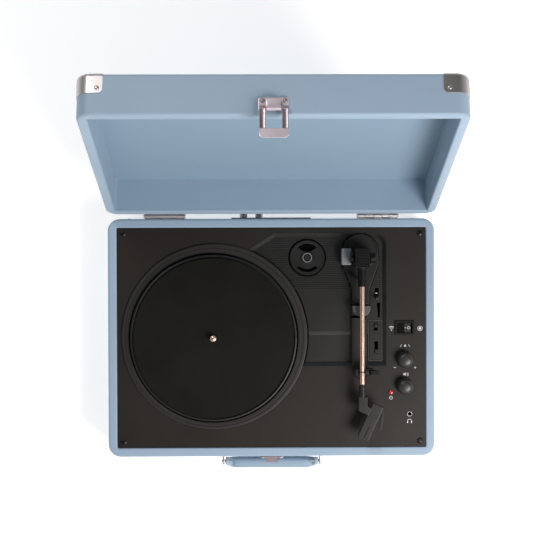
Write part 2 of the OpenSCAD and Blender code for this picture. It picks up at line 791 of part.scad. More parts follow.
// Post with a shelf under the tube, a wall on its right and two ears for the clip's pin
module arm_rest() {
    shelf = arm_z - tube_r - gap;
    color(black) on_base() {
        at(rest_c, deck_top + 0.6) cylinder(r = 8.2, h = 1.2);
        at(rest_c, deck_top + 1) cylinder(r = 4, h = shelf - deck_top - 4);
        translate([rest_c[0] - 7, rest_c[1] - 3, shelf - 3]) cube([13.9, 6, 3]);
        translate([pivot[0] + tube_r + 0.4, rest_c[1] - 3, shelf - 1]) cube([1.6, 6, 4]);
        for (y = [-4.3, 3.2])
            translate([100, rest_c[1] + y, shelf - 3.6]) cube([clip_axis[0] + 1.6 - 100, 1.1, 3.4]);
        for (y = [-4.3, 2.9])
            translate([100, rest_c[1] + y, shelf - 3.6]) cube([2.6, 1.4, 3.4]);
        rod_y([clip_axis[0], rest_c[1] - 4, clip_axis[1]], clip_pin_r, 8);
    }
}

// Hook that turns over the tube to hold the arm; drawn turned back
module rest_clip() {
    color(black) on_base() translate([clip_axis[0], rest_c[1], clip_axis[1]])
        rotate([0, clip_open, 0]) difference() {
            union() {
                rod_y([0, -3, 0], 1.9, 6);
                translate([-0.8, -2, 0]) cube([1.6, 4, 11.2]);
                translate([-11.2, -2, 9.4]) cube([12, 4, 1.8]);
            }
            rod_y([0, -4, 0], clip_pin_r + run, 8);
        }
}

module cue_lift() {
    pad_top = arm_z - tube_r - gap - cue_travel;
    color("#4a4b4c") on_base() {
        intersection() {
            at(cue_c, pad_top - 1.8) cylinder(r = cue_r - 0.2, h = 1.8);
            translate([cue_c[0] - cue_r, cue_c[1] - cue_r, pad_top - 2]) cube([2 * cue_r, cue_r + 2, 3]);
        }
        at(cue_c, deck_under - 8) cylinder(r = 2.5, h = pad_top - deck_under + 7);
    }
}

lever_z = deck_under - 3;

module cue_lever() {
    color("#2a2929") on_base() translate([lever_c[0], lever_c[1], lever_z]) {
        rotate([25, 0, 0]) translate([-1.5, -1.5, 0]) cube([3, 3, 13]);
        rod_x([-4, 0, 0], 2, 8);
    }
}

// ---------- controls ----------

// Small slide-switch button; z is the surface it slides over
module slider(c, z) {
    at([c[0] - 1.5, c[1] - 2], z - 4) cube([3, 4, 6.2]);
    at([c[0] - 3, c[1] - 2.6], deck_under - 3) cube([6, 5.2, 2.4]);
}

module auto_stop_slider() {
    color("#191919") on_base() slider([auto_stop_c[0], auto_stop_c[1] + 1.6], floor_hi);
}

module speed_slider() { color("#191919") on_base() slider([speed_c[0], speed_c[1] - 4], floor_hi); }

module rocker_bezel() {
    color("#1b1b1b") on_base() at(rocker_c, 0) difference() {
        union() {
            translate([-10.4, -7.5, deck_top]) cube([20.8, 15, 1.6]);
            translate([-9.2, -6.4, deck_top - 14]) cube([18.4, 12.8, 14.2]);
        }
        translate([-8, -5.2, deck_top - 9]) cube([16, 10.4, 20]);
        rod_y([0, -9, deck_top - 3], 1 + run, 18);
    }
}

// Rocker on a cross pin, pressed down on its left side
module rocker_cap() {
    color("#222222") on_base() at(rocker_c, deck_top - 3) rotate([0, -rocker_tilt, 0]) {
        rod_y([0, -6.2, 0], 1, 12.4);
        translate([-7, -4.9, -2]) cube([14, 9.8, 5.2]);
        translate([-7, -4.9, 3]) rotate([0, -8, 0]) cube([7.2, 9.8, 1.2]);
        translate([7, 4.9, 3]) rotate([0, 8, 180]) cube([7.2, 9.8, 1.2]);
    }
}

module knob(c) {
    at(c, deck_top + 0.6) rotate_extrude() polygon([
        [0, 0], [knob_r - 0.4, 0], [knob_r, 0.6], [knob_r - 0.3, knob_h - 3.2],
        [knob_r - 1.1, knob_h - 2], [knob_r - 3, knob_h - 1.1], [0, knob_h - 0.6]
    ]);
    at(c, deck_under - 9) cylinder(r = shaft_knob_r, h = deck_t + 10);
}

module pitch_knob() {
    color("#2e2d2c") on_base() difference() {
        knob(pitch_c);
        at([pitch_c[0] - 0.5, pitch_c[1] + knob_r - 3.5], deck_top + knob_h - 2.6) cube([1, 5, 4]);
    }
}

module volume_knob() {
    color("#2e2d2c") on_base() difference() {
        knob(volume_c);
        at([volume_c[0] - 0.5, volume_c[1] + knob_r - 3.5], deck_top + knob_h - 2.6) cube([1, 5, 4]);
    }
}

module power_led() {
    color("#c01722") on_base() at(led_c, deck_under - 3) {
        cylinder(r = 2.4, h = deck_t + 3.4);
        translate([0, 0, deck_t + 3]) cylinder(r1 = 2.4, r2 = 1.2, h = 1.4);
    }
}

module headphone_jack() {
    color(steel) on_base() at(phones_c, 0) difference() {
        union() {
            translate([0, 0, deck_top - 10]) cylinder(r = 2.9, h = 10);
            translate([0, 0, deck_top]) cylinder(r = 3.4, h = 0.8);
            translate([-4.5, -5.5, deck_top - 17]) cube([9, 11, 11]);
        }
        translate([0, 0, deck_top - 14]) cylinder(r = jack_bore_r, h = 20);
    }
}

board_z = foot_h + 26;

// Board with the two potentiometers, whose bushes hold the knobs' shafts
module main_board() {
    color("#2f5d3c") on_base() {
        translate([118, -92, board_z]) cube([36, 122, 1.6]);
        for (c = [pitch_c, volume_c]) difference() {
            union() {
                at([c[0] - 7, c[1] - 7], board_z + 1.6) cube([14, 14, 14]);
                at(c, board_z + 1.6) cylinder(r = 5, h = deck_under - board_z - 1.6);
            }
            at(c, deck_under - 10) cylinder(r = shaft_knob_r + run, h = 20);
        }
        at([125, 20], board_z + 1.6) cylinder(r = 5, h = 12);
        at([125, -20], board_z + 1.6) cylinder(r = 4, h = 10);
        at([122, -50], board_z + 1.6) cube([10, 14, 2]);
        at([139, -80], board_z + 1.6) cube([6, 10, 3]);
    }
}

// ---------- rear connectors ----------

module rear_jack_plate() {
    y = case_d / 2;
    color(black) on_base() difference() {
        union() {
            translate([-rear_plate_w / 2, y, rear_z - rear_plate_h / 2])
                cube([rear_plate_w, 1.6, rear_plate_h]);
            translate([-rear_plate_w / 2 + 4 + gap, y - wall, rear_z - rear_plate_h / 2 + 4 + gap])
                cube([rear_plate_w - 8 - 2 * gap, wall, rear_plate_h - 8 - 2 * gap]);
        }
        translate([-rear_plate_w / 2 + 7, y - wall - 1, rear_z - 7]) cube([rear_plate_w - 14, wall - 1, 14]);
        for (x = rca_x) rod_y([x, y - 5, rear_z], 5.2, 10);
        for (x = [aux_x, dc_x]) rod_y([x, y - 5, rear_z], 4.2, 10);
    }
}

module rear_jacks() {
    y = case_d / 2;
    color(steel) on_base() {
        for (x = rca_x) difference() {
            union() {
                rod_y([x, y - 1.8, rear_z], 5, 3.4);
                rod_y([x, y - 1.8, rear_z], 4.15, 11.8);
            }
            rod_y([x, y, rear_z], 1.7, 12);
        }
        difference() {
            rod_y([aux_x, y - 1.8 - 12, rear_z], 4, 14.2);
            rod_y([aux_x, y - 12, rear_z], jack_bore_r, 20);
        }
        difference() {
            rod_y([dc_x, y - 1.8 - 10, rear_z], 4, 12.2);
            rod_y([dc_x, y - 10, rear_z], 2.8, 20);
        }
    }
}

base_shell();
bottom_panel();
bottom_screws();
rubber_feet();
base_corner_caps();
base_rivets();
latch_keeper();
handle_grip();
handle_pins();
left_handle_bracket();
right_handle_bracket();
left_speaker_grille();
right_speaker_grille();
left_speaker();
right_speaker();
left_hinge_base_leaf();
right_hinge_base_leaf();
left_hinge_pin();
right_hinge_pin();
left_hinge_lid_leaf();
right_hinge_lid_leaf();
lid_shell();
lid_corner_caps();
lid_rivets();
latch_plate();
latch_pin();
latch_loop();
deck_panel();
deck_screws();
chassis_plate();
bearing_bush();
motor();
motor_pulley();
drive_belt();
platter();
platter_mat();
spindle();
adapter_45();
arm_base();
arm_yoke();
arm_body();
arm_tube();
headshell();
cartridge();
arm_rest();
rest_clip();
cue_lever();
cue_lift();
auto_stop_slider();
speed_slider();
rocker_bezel();
rocker_cap();
pitch_knob();
volume_knob();
power_led();
headphone_jack();
main_board();
rear_jack_plate();
rear_jacks();
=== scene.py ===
"""Looks of a portable suitcase record player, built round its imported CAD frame.

Shapes are drawn in millimetres in the case's own frame: x to the right and y to the back from the
middle of the case, z up from the floor. What belongs to the lid is drawn on the closed lid, and
carried to the open one.
"""

from math import asin, atan2, copysign, cos, degrees, pi, radians, sin, sqrt, tan

import bmesh
import bpy
from mathutils import Matrix, Vector


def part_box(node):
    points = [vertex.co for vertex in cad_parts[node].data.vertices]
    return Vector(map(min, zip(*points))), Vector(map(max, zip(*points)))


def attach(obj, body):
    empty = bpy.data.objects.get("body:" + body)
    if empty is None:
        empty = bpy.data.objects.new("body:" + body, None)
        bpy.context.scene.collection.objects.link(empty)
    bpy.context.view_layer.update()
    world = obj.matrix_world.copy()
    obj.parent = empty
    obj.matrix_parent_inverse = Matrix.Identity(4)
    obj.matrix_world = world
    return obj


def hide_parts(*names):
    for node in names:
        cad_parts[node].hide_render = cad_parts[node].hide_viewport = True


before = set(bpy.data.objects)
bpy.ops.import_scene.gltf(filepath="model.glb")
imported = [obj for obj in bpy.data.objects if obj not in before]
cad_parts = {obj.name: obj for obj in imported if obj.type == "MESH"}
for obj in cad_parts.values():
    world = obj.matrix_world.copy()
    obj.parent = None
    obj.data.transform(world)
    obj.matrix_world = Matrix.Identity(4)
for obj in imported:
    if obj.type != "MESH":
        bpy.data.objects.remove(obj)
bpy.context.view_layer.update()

# ---------- driving sizes ----------

MM = 0.001
CASE_W, CASE_D = 350.0, 255.0
WALL = 9.5
CORNER = 13.0
FOOT = 4.0
RIM = 64.0
LID_H = 41.0
LID_INSIDE = 37.5
SEAM = 0.3
HINGE_Y = CASE_D / 2 + 3
HINGE_X = 113.9
LID_OPEN = radians(108)
CAP = 0.8
CASE_H = 60.0
MOTOR_C = (-115.03, 53.03)
SIDES = (-1, 1)

DECK = RIM - 1.5
DECK_UNDER = DECK - 5
FLOOR = DECK - 3
LOW_FLOOR = DECK - 4.2
RING_C, RING_R = (-61.0, 1.2), 99.3
RING_TOP = DECK + 2
WELL_FLOOR = RIM - 9
PLATTER_C, PLATTER_R = (-62.0, 0.0), 89.0
MAT_R, MAT_TOP = 85.3, RIM + 6
SPINDLE_R, SPINDLE_TOP = 3.6, RIM + 16
ADAPTER_C, ADAPTER_R = (38.5, 85.5), 19.0
PIVOT = (95.5, 85.0)
ARM_Z = RIM + 20
BRIDGE_X = (85.75, 105.45)
REST_C = (95.7, -35.8)
SHELL_C, SHELL_ANGLE = (104.1, -88.2), radians(-25)
SWITCHES = ((103.6, -25.9), (119.2, 18.1))
ROCKER_C = (142.8, 10.0)
FEET = [(x, y) for x in (-150, 150) for y in (-104, 104)]
SCREWS = [(x, y) for x in (-159, 159) for y in (-111.5, 111.5)]
KNOBS = {"pitch": (143.0, -24.2), "volume": (143.0, -52.6)}
LED_C = (128.0, -59.2)
PHONES_C = (148.0, -82.7)

case_low, case_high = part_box("base_shell")
CASE_FRAME = Matrix.Translation((0, (case_low.y + case_high.y) / 2, 0)) @ Matrix.Scale(MM, 4)
TO_HINGE = Matrix.Translation((0, HINGE_Y, RIM))
LID_FRAME = CASE_FRAME @ TO_HINGE @ Matrix.Rotation(-LID_OPEN, 4, "X") @ TO_HINGE.inverted()

# ---------- camera ----------

camera = bpy.data.objects.new("camera", bpy.data.cameras.new("camera"))
bpy.context.scene.collection.objects.link(camera)
camera.location = CASE_FRAME @ Vector((-14.8, 84.8, RIM + 1366.9))
camera.rotation_euler = [radians(a) for a in (-0.74, -0.784, -0.19)]
camera.data.lens = 83.6
camera.data.sensor_width = 36
bpy.context.scene.camera = camera

# ---------- shape helpers ----------


def arc(centre, radius, start, end, steps=12, tall=None):
    """Points of an arc between two angles in degrees, ends included; tall makes it an ellipse's."""
    tall = tall or radius
    turn = [radians(start + (end - start) * k / steps) for k in range(steps + 1)]
    return [(centre[0] + radius * cos(a), centre[1] + tall * sin(a)) for a in turn]


def rounded(width, depth, radius, centre=(0, 0), steps=8):
    """Rounded rectangle, counter-clockwise."""
    x, y = width / 2 - radius, depth / 2 - radius
    corners = ((x, y, 0), (-x, y, 90), (-x, -y, 180), (x, -y, 270))
    return [p for cx, cy, a in corners
            for p in arc((centre[0] + cx, centre[1] + cy), radius, a, a + 90, steps)]


def circle(centre, radius, steps=96):
    return arc(centre, radius, 0, 360 * (steps - 1) / steps, steps - 1)


def inset(outline, distance):
    """A counter-clockwise outline moved inwards by a distance."""
    moved = []
    for k, point in enumerate(outline):
        p = Vector(point)
        before = (p - Vector(outline[k - 1])).normalized()
        after = (Vector(outline[(k + 1) % len(outline)]) - p).normalized()
        inwards = Vector((-before.y - after.y, before.x + after.x)).normalized()
        reach = distance / max(0.3, inwards.dot(Vector((-before.y, before.x))))
        moved.append(tuple(p + inwards * reach))
    return moved


def at_height(outline, z):
    return [(x, y, z) for x, y in outline]


def above(level, *points):
    """(radius, height) points measured from a level."""
    return [(r, level + z) for r, z in points]


def bar(bore, radius, low, high, edge):
    """Profile of a turned bar with chamfered ends."""
    return [(bore, low), (radius - edge, low), (radius, low + edge), (radius, high - edge),
            (radius - edge, high), (bore, high)]


AXES = {"Z": Matrix(), "Y": Matrix.Rotation(-pi / 2, 4, "X"), "X": Matrix.Rotation(pi / 2, 4, "Y")}


def weigh_normals(piece):
    """Shades flat faces flat and leaves the rounding to the edges between them."""
    step = piece.modifiers.new("normals", "WEIGHTED_NORMAL")
    step.keep_sharp = True


class Part:
    """Closed shapes gathered into one mesh, in millimetres."""

    def __init__(self):
        self.mesh = bmesh.new()

    def add(self, points, faces, pose=Matrix()):
        made = [self.mesh.verts.new(pose @ Vector(p)) for p in points]
        for face in faces:
            self.mesh.faces.new([made[k] for k in face])
        return self

    def loft(self, rings, closed=False, pose=Matrix()):
        """Skins rings of equally many points; open ends are capped."""
        count = len(rings[0])
        points = [p for ring in rings for p in ring]
        faces = []
        for a in range(len(rings) if closed else len(rings) - 1):
            b = (a + 1) % len(rings)
            for k in range(count):
                n = (k + 1) % count
                faces.append((a * count + k, a * count + n, b * count + n, b * count + k))
        if not closed:
            faces.append(tuple(reversed(range(count))))
            faces.append(tuple(range(len(points) - count, len(points))))
        return self.add(points, faces, pose)

    def lathe(self, profile, at=(0, 0, 0), axis="Z", steps=96, closed=False):
        """Turns (radius, height) points round an axis through a point."""
        rings = [at_height(circle((0, 0), max(r, 0.02), steps), z) for r, z in profile]
        return self.loft(rings, closed, Matrix.Translation(at) @ AXES[axis])

    def plate(self, outline, low, high, edge=0.3, pose=Matrix()):
        """An outline raised from one height to another, its edges rounded."""
        rings = []
        for z, way in ((low, 1), (high, -1)):
            steps = [(edge * (1 - sin(a)), edge * (1 - cos(a)))
                     for a in (0, pi / 4, pi / 2)]
            side = [at_height(inset(outline, i), z + way * up) for i, up in steps]
            rings += side if way == 1 else side[::-1]
        return self.loft(rings, False, pose)

    def block(self, low, high, edge=0.4, pose=Matrix()):
        """A box between two corners, its edges rounded."""
        size = [b - a for a, b in zip(low, high)]
        middle = [(a + b) / 2 for a, b in zip(low, high)]
        box = bmesh.new()
        bmesh.ops.create_cube(box, size=1)
        bmesh.ops.scale(box, vec=size, verts=box.verts)
        bmesh.ops.translate(box, vec=middle, verts=box.verts)
        bmesh.ops.bevel(box, geom=box.edges[:], offset=min(edge, min(size) * 0.45), segments=2,
                        profile=0.5, affect="EDGES")
        box.verts.index_update()
        self.add([v.co for v in box.verts], [[v.index for v in f.verts] for f in box.faces], pose)
        box.free()
        return self

    def tube(self, route, radius, steps=16, closed=False):
        """A round bar along points; radius may be one number or one for each point."""
        rings = []
        for k, point in enumerate(route):
            p = Vector(point)
            ahead = Vector(route[(k + 1) % len(route) if closed else min(k + 1, len(route) - 1)])
            way = ahead - (Vector(route[k - 1]) if closed or k else p)
            turn = way.to_track_quat("Z", "X" if abs(way.normalized().x) < 0.9 else "Y")
            r = radius if isinstance(radius, (int, float)) else radius[k]
            rings.append([tuple(p + turn @ Vector((r * cos(a), r * sin(a), 0)))
                          for a in (2 * pi * n / steps for n in range(steps))])
        return self.loft(rings, closed)

    def take(self, other, pose=Matrix()):
        """Adds a copy of another part."""
        other.mesh.verts.index_update()
        return self.add([v.co for v in other.mesh.verts],
                        [[v.index for v in f.verts] for f in other.mesh.faces], pose)

    def _object(self):
        bmesh.ops.recalc_face_normals(self.mesh, faces=self.mesh.faces)
        mesh = bpy.data.meshes.new("work")
        self.mesh.to_mesh(mesh)
        work = bpy.data.objects.new("work", mesh)
        bpy.context.scene.collection.objects.link(work)
        return work

    def _bake(self, body, *tools):
        """Takes over a work object's mesh with its modifiers applied."""
        graph = bpy.context.evaluated_depsgraph_get()
        self.mesh.clear()
        self.mesh.from_mesh(bpy.data.meshes.new_from_object(body.evaluated_get(graph)))
        for work in (body, *tools):
            bpy.data.objects.remove(work)
        return self

    def cut(self, *cutters):
        """Takes each cutter's volume away and uses the cutters up."""
        body = self._object()
        tools = [c._object() for c in cutters]
        for tool in tools:
            step = body.modifiers.new("cut", "BOOLEAN")
            step.operation, step.solver, step.object = "DIFFERENCE", "EXACT", tool
        return self._bake(body, *tools)

    def smooth_out(self, rounds=1):
        """Catmull-Clark subdivision of what has been gathered so far."""
        body = self._object()
        step = body.modifiers.new("round", "SUBSURF")
        step.levels = rounds
        return self._bake(body)

    def done(self, name, look, body, *nodes, lid=False, sharp=35):
        """Makes the piece, puts it on its body and lets it stand for CAD nodes."""
        bmesh.ops.remove_doubles(self.mesh, verts=self.mesh.verts, dist=1e-4)
        bmesh.ops.recalc_face_normals(self.mesh, faces=self.mesh.faces)
        mesh = bpy.data.meshes.new(name)
        self.mesh.to_mesh(mesh)
        self.mesh.free()
        mesh.transform(LID_FRAME if lid else CASE_FRAME)
        mesh.materials.append(look.material)
        for face in mesh.polygons:
            face.use_smooth = True
        mesh.set_sharp_from_angle(angle=radians(sharp))
        piece = bpy.data.objects.new(name, mesh)
        bpy.context.scene.collection.objects.link(piece)
        weigh_normals(piece)
        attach(piece, body)
        if nodes:
            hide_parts(*nodes)
        return piece


def dress(look, *nodes, edge=0.25):
    """Gives carried-over CAD nodes their material and softened edges."""
    for name in nodes:
        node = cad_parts[name]
        node.data.materials.clear()
        node.data.materials.append(look.material)
        if "custom_normal" in node.data.attributes:
            node.data.attributes.remove(node.data.attributes["custom_normal"])
        weld = node.modifiers.new("weld", "WELD")
        weld.merge_threshold = 0.01 * MM
        bevel = node.modifiers.new("bevel", "BEVEL")
        bevel.width = edge * MM
        bevel.segments = 2
        bevel.limit_method = "ANGLE"
        bevel.angle_limit = radians(40)
        for face in node.data.polygons:
            face.use_smooth = True
        node.data.set_sharp_from_angle(angle=radians(35))
        weigh_normals(node)


# ---------- materials ----------


class Look:
    """A procedural material on the Principled shader. Scales are per metre, depths in metres."""

    def __init__(self, name, slot, colour, roughness, metallic=0.0, specular=0.5, sheen=0.0, coat=0.0):
        self.slot = slot
        self.colour = colour
        self.material = bpy.data.materials.new(name)
        self.material.use_nodes = True
        self.nodes = self.material.node_tree.nodes
        self.links = self.material.node_tree.links
        self.shader = self.nodes["Principled BSDF"]
        values = {"Base Color": (*colour, 1), "Roughness": roughness, "Metallic": metallic,
                  "Specular IOR Level": specular, "Sheen Weight": sheen, "Coat Weight": coat}
        for socket, value in values.items():
            self.shader.inputs[socket].default_value = value
        self.place = self.nodes.new("ShaderNodeTexCoord").outputs["Object"]
        self.tint = None

    def texture(self, kind, output, stretch=(1, 1, 1), centre=(0, 0, 0), **settings):
        """A texture's output, its coordinates stretched about a centre."""
        mapping = self.nodes.new("ShaderNodeMapping")
        mapping.inputs["Scale"].default_value = stretch
        mapping.inputs["Location"].default_value = [-c * s for c, s in zip(centre, stretch)]
        self.links.new(self.place, mapping.inputs["Vector"])
        texture = self.nodes.new("ShaderNodeTex" + kind)
        for key, value in settings.items():
            if key in texture.inputs:
                texture.inputs[key].default_value = value
            else:
                setattr(texture, key, value)
        self.links.new(mapping.outputs["Vector"], texture.inputs["Vector"])
        return texture.outputs[output]

    def ramp(self, value, low, high, start=0.0, end=1.0):
        """Maps a value from start..end to low..high."""
        node = self.nodes.new("ShaderNodeMapRange")
        for socket, number in zip(("From Min", "From Max", "To Min", "To Max"), (start, end, low, high)):
            node.inputs[socket].default_value = number
        self.links.new(value, node.inputs["Value"])
        return node.outputs["Result"]

    def mottle(self, mask, colour):
        """Mixes the colour so far towards another by a mask."""
        mix = self.nodes.new("ShaderNodeMix")
        mix.data_type = "RGBA"
        self.links.new(mask, mix.inputs["Factor"])
        if self.tint:
            self.links.new(self.tint, mix.inputs["A"])
        else:
            mix.inputs["A"].default_value = (*self.colour, 1)
        mix.inputs["B"].default_value = (*colour, 1)
        self.tint = mix.outputs["Result"]
        self.links.new(self.tint, self.shader.inputs["Base Color"])
        return self

    def roughen(self, mask, low, high, start=0.3, end=0.7):
        self.links.new(self.ramp(mask, low, high, start, end), self.shader.inputs["Roughness"])
        return self

    def bump(self, height, depth):
        """Adds relief of a depth on top of what is there."""
        node = self.nodes.new("ShaderNodeBump")
        node.inputs["Distance"].default_value = depth
        self.links.new(height, node.inputs["Height"])
        if self.shader.inputs["Normal"].is_linked:
            self.links.new(self.shader.inputs["Normal"].links[0].from_socket, node.inputs["Normal"])
        self.links.new(node.outputs["Normal"], self.shader.inputs["Normal"])
        return self

    def wear(self, colour, start=0.52, end=0.6, amount=0.6):
        """Lightens convex edges."""
        edges = self.nodes.new("ShaderNodeNewGeometry").outputs["Pointiness"]
        return self.mottle(self.ramp(edges, 0.0, amount, start, end), colour)


def grained(look, size, depth):
    """Pebble grain: cells of a size in metres, over a finer noise."""
    cells = look.texture("Voronoi", "Distance", Scale=1 / size, Randomness=0.9)
    fine = look.texture("Noise", "Fac", Scale=3 / size, Detail=3)
    look.bump(look.ramp(cells, 1.0, 0.0, 0.0, 0.6), depth)
    look.bump(fine, depth * 0.35)
    return look


def covering_look(name, shade=(1, 1, 1)):
    def tone(*colour):
        return tuple(c * s for c, s in zip(colour, shade))

    look = Look(name, "blue_covering", tone(0.290, 0.392, 0.500), 0.46, specular=0.5, sheen=0.15)
    grained(look, 0.0009, 0.00004)
    cloud = look.texture("Noise", "Fac", Scale=14, Detail=4)
    look.mottle(look.ramp(cloud, 0.0, 0.35, 0.4, 0.75), tone(0.250, 0.352, 0.468))
    creases = look.texture("Noise", "Fac", stretch=(1, 6, 1), Scale=55, Detail=2)
    look.mottle(look.ramp(creases, 0.0, 0.18, 0.5, 0.8), tone(0.315, 0.428, 0.542))
    look.wear(tone(0.36, 0.47, 0.57), amount=0.5)
    return look.roughen(cloud, 0.46, 0.60)


def plastic_look(name, slot, colour, roughness, grain=0.0004, depth=0.000012, specular=0.5):
    look = Look(name, slot, colour, roughness, specular=specular)
    speckle = look.texture("Noise", "Fac", Scale=1 / grain, Detail=3)
    broad = look.texture("Noise", "Fac", Scale=25, Detail=3)
    look.bump(speckle, depth)
    look.mottle(look.ramp(broad, 0.0, 0.5, 0.35, 0.75), tuple(c * 0.82 for c in colour))
    look.mottle(look.ramp(speckle, 0.0, 0.35, 0.55, 0.8), tuple(c * 1.5 for c in colour))
    return look.roughen(broad, roughness - 0.05, roughness + 0.06)


def metal_look(name, slot, colour, roughness, brush=(1, 30, 30), metallic=1.0, scratch=0.000006):
    look = Look(name, slot, colour, roughness, metallic=metallic)
    lines = look.texture("Noise", "Fac", stretch=brush, Scale=90, Detail=4)
    smudge = look.texture("Noise", "Fac", Scale=60, Detail=3)
    look.bump(lines, scratch)
    look.mottle(look.ramp(smudge, 0.0, 0.5, 0.45, 0.8), tuple(c * 0.78 for c in colour))
    return look.roughen(lines, roughness - 0.06, roughness + 0.1)


covering = covering_look("blue_leatherette")
# A darkened copy of the covering for the inside of the lid: painted shade.
lid_shade_covering = covering_look("lid_painted_shade", (0.70, 0.77, 0.80))
deck_black = plastic_look("textured_black", "black_deck", (0.0135, 0.0108, 0.0085),
                          0.48, 0.0005, 0.00003, 0.28)
chassis_black = plastic_look("chassis_black", "black_plastic", (0.016, 0.0155, 0.0145),
                             0.40, specular=0.32)
satin_black = plastic_look("satin_black", "black_plastic", (0.010, 0.010, 0.0095), 0.40, specular=0.35)
deep_black = plastic_look("deep_black", "black_plastic", (0.004, 0.004, 0.004), 0.45, specular=0.2)
# Near-black for deep gaps and pocket floors: painted shadow.
shadow_black = plastic_look("shadow_gap", "black_plastic", (0.0015, 0.0015, 0.0014), 0.7, specular=0.03)
# A lighter copy of the chassis black, for the light the raised ring's bevel catches: painted light.
ring_lit_black = plastic_look("ring_lit_black", "black_plastic", (0.022, 0.0195, 0.018), 0.44, specular=0.34)
arm_black = plastic_look("arm_black", "black_plastic", (0.022, 0.021, 0.0185), 0.42, specular=0.28)
# Pale blue-grey; on the arm's side post it is partly a painted reflection of the blue lid.
pale_plastic = plastic_look("pale_grey_plastic", "black_plastic", (0.21, 0.22, 0.235), 0.36)
# A light grey that stands for lit faces and edges: painted light.
painted_light_grey = plastic_look("painted_light_grey", "grey_plastic", (0.080, 0.080, 0.075), 0.42)
knob_black = plastic_look("knob_black", "knob_plastic", (0.026, 0.025, 0.024), 0.34, specular=0.5)
silver = metal_look("brushed_nickel", "silver_metal", (0.50, 0.475, 0.475), 0.36, scratch=0.000003)
bright_nickel = metal_look("bright_nickel", "silver_metal", (0.74, 0.65, 0.71),
                           0.36, metallic=0.75, scratch=0.000002)
rose_gold = metal_look("rose_gold", "rose_gold", (0.80, 0.55, 0.44),
                       0.30, brush=(30, 0.5, 30), scratch=0.0000008)
dark_metal = metal_look("blackened_screw", "dark_screw", (0.03, 0.03, 0.03), 0.38)
motor_metal = metal_look("motor_can", "motor_steel", (0.45, 0.45, 0.46), 0.35)
bronze = metal_look("turned_bronze", "bronze", (0.45, 0.30, 0.14), 0.30)
belt_black = plastic_look("belt_black", "belt_rubber", (0.015, 0.015, 0.015), 0.6)
foot_black = plastic_look("foot_black", "foot_rubber", (0.022, 0.022, 0.022), 0.7)
board_brown = plastic_look("fibreboard", "board", (0.20, 0.15, 0.10), 0.8, 0.0008, 0.00006)
board_green = plastic_look("solder_mask", "circuit_board", (0.03, 0.14, 0.06), 0.35)
cone_grey = plastic_look("speaker_paper", "grey_plastic", (0.05, 0.05, 0.05), 0.85)
mauve = metal_look("aged_nickel", "silver_metal", (0.36, 0.30, 0.33),
                   0.38, metallic=0.85, scratch=0.000002)
thread_blue = plastic_look("pale_thread", "blue_covering", (0.36, 0.48, 0.60), 0.6)
jack_white = plastic_look("jack_white", "grey_plastic", (0.75, 0.75, 0.73), 0.4)
jack_red = plastic_look("jack_red", "red_lens", (0.55, 0.02, 0.02), 0.4)
# White for printing, and on the cue lever for a painted highlight.
print_and_highlight_white = plastic_look("printed_white_and_highlight", "black_deck", (0.75, 0.75, 0.74), 0.6)


def mat_look():
    look = Look("mat_rubber", "mat_rubber", (0.0062, 0.0059, 0.0045), 0.55, specular=0.12)
    centre = CASE_FRAME @ Vector((*PLATTER_C, 0))
    rings = look.texture("Wave", "Fac", stretch=(1, 1, 0), centre=centre, wave_type="RINGS",
                         rings_direction="SPHERICAL", Scale=110, Distortion=0.4, Detail=1)
    cloud = look.texture("Noise", "Fac", Scale=22, Detail=4)
    dust = look.texture("Noise", "Fac", Scale=1800, Detail=2)
    look.bump(rings, 0.000015)
    look.bump(cloud, 0.0004)
    look.bump(dust, 0.00001)
    look.mottle(look.ramp(cloud, 0.0, 0.6, 0.4, 0.75), (0.0095, 0.0091, 0.0073))
    return look.roughen(cloud, 0.48, 0.62)


mat_black = mat_look()


def lamp_look():
    look = Look("red_lens", "red_lens", (0.40, 0.004, 0.008), 0.18, specular=0.6, coat=0.5)
    look.shader.inputs["Emission Color"].default_value = (1.0, 0.02, 0.04, 1)
    look.shader.inputs["Emission Strength"].default_value = 0.06
    glow = look.texture("Noise", "Fac", Scale=900, Detail=2)
    return look.mottle(look.ramp(glow, 0.0, 0.4, 0.4, 0.8), (0.9, 0.05, 0.08))


lamp_red = lamp_look()

# ---------- case ----------


def case_ring(inwards, z, extra=0.0):
    """The case's outline moved inwards, at a height."""
    radius = max(CORNER + extra - 1.24 * inwards, 1.2)
    return at_height(rounded(CASE_W + 2 * (extra - inwards), CASE_D + 2 * (extra - inwards), radius), z)


def box_cutter(low, high):
    return Part().block(low, high, 0.01)


OUTER_EDGE, INNER_EDGE, LID_EDGE = 2.6, 1.6, 3.2
SPEAKER_X, SPEAKER_Z = 118.0, FOOT + 30
GRILLE = (64.0, 34.0)
REAR_Z, REAR_PLATE = FOOT + 28, (86.0, 30.0)


def base_case():
    profile = ([(WALL, DECK_UNDER - 2), (WALL, FOOT), (OUTER_EDGE, FOOT)]
               + arc((OUTER_EDGE, FOOT + OUTER_EDGE), OUTER_EDGE, 270, 180, 4)
               + arc((OUTER_EDGE, RIM - OUTER_EDGE), OUTER_EDGE, 180, 90, 4)
               + arc((WALL - INNER_EDGE, RIM - INNER_EDGE), INNER_EDGE, 90, 0, 4))
    part = Part().loft([case_ring(i, z) for i, z in profile], closed=True)
    half_w, half_h = GRILLE[0] / 2 - 4, GRILLE[1] / 2 - 4
    windows = [box_cutter((x - half_w, -CASE_D / 2 - 2, SPEAKER_Z - half_h),
                          (x + half_w, -CASE_D / 2 + WALL + 2, SPEAKER_Z + half_h))
               for x in (-SPEAKER_X, SPEAKER_X)]
    half_w, half_h = REAR_PLATE[0] / 2 - 4, REAR_PLATE[1] / 2 - 4
    windows.append(box_cutter((-half_w, CASE_D / 2 - WALL - 2, REAR_Z - half_h),
                              (half_w, CASE_D / 2 + 2, REAR_Z + half_h)))
    part.cut(*windows).done("case_base", covering, "base", "base_shell")


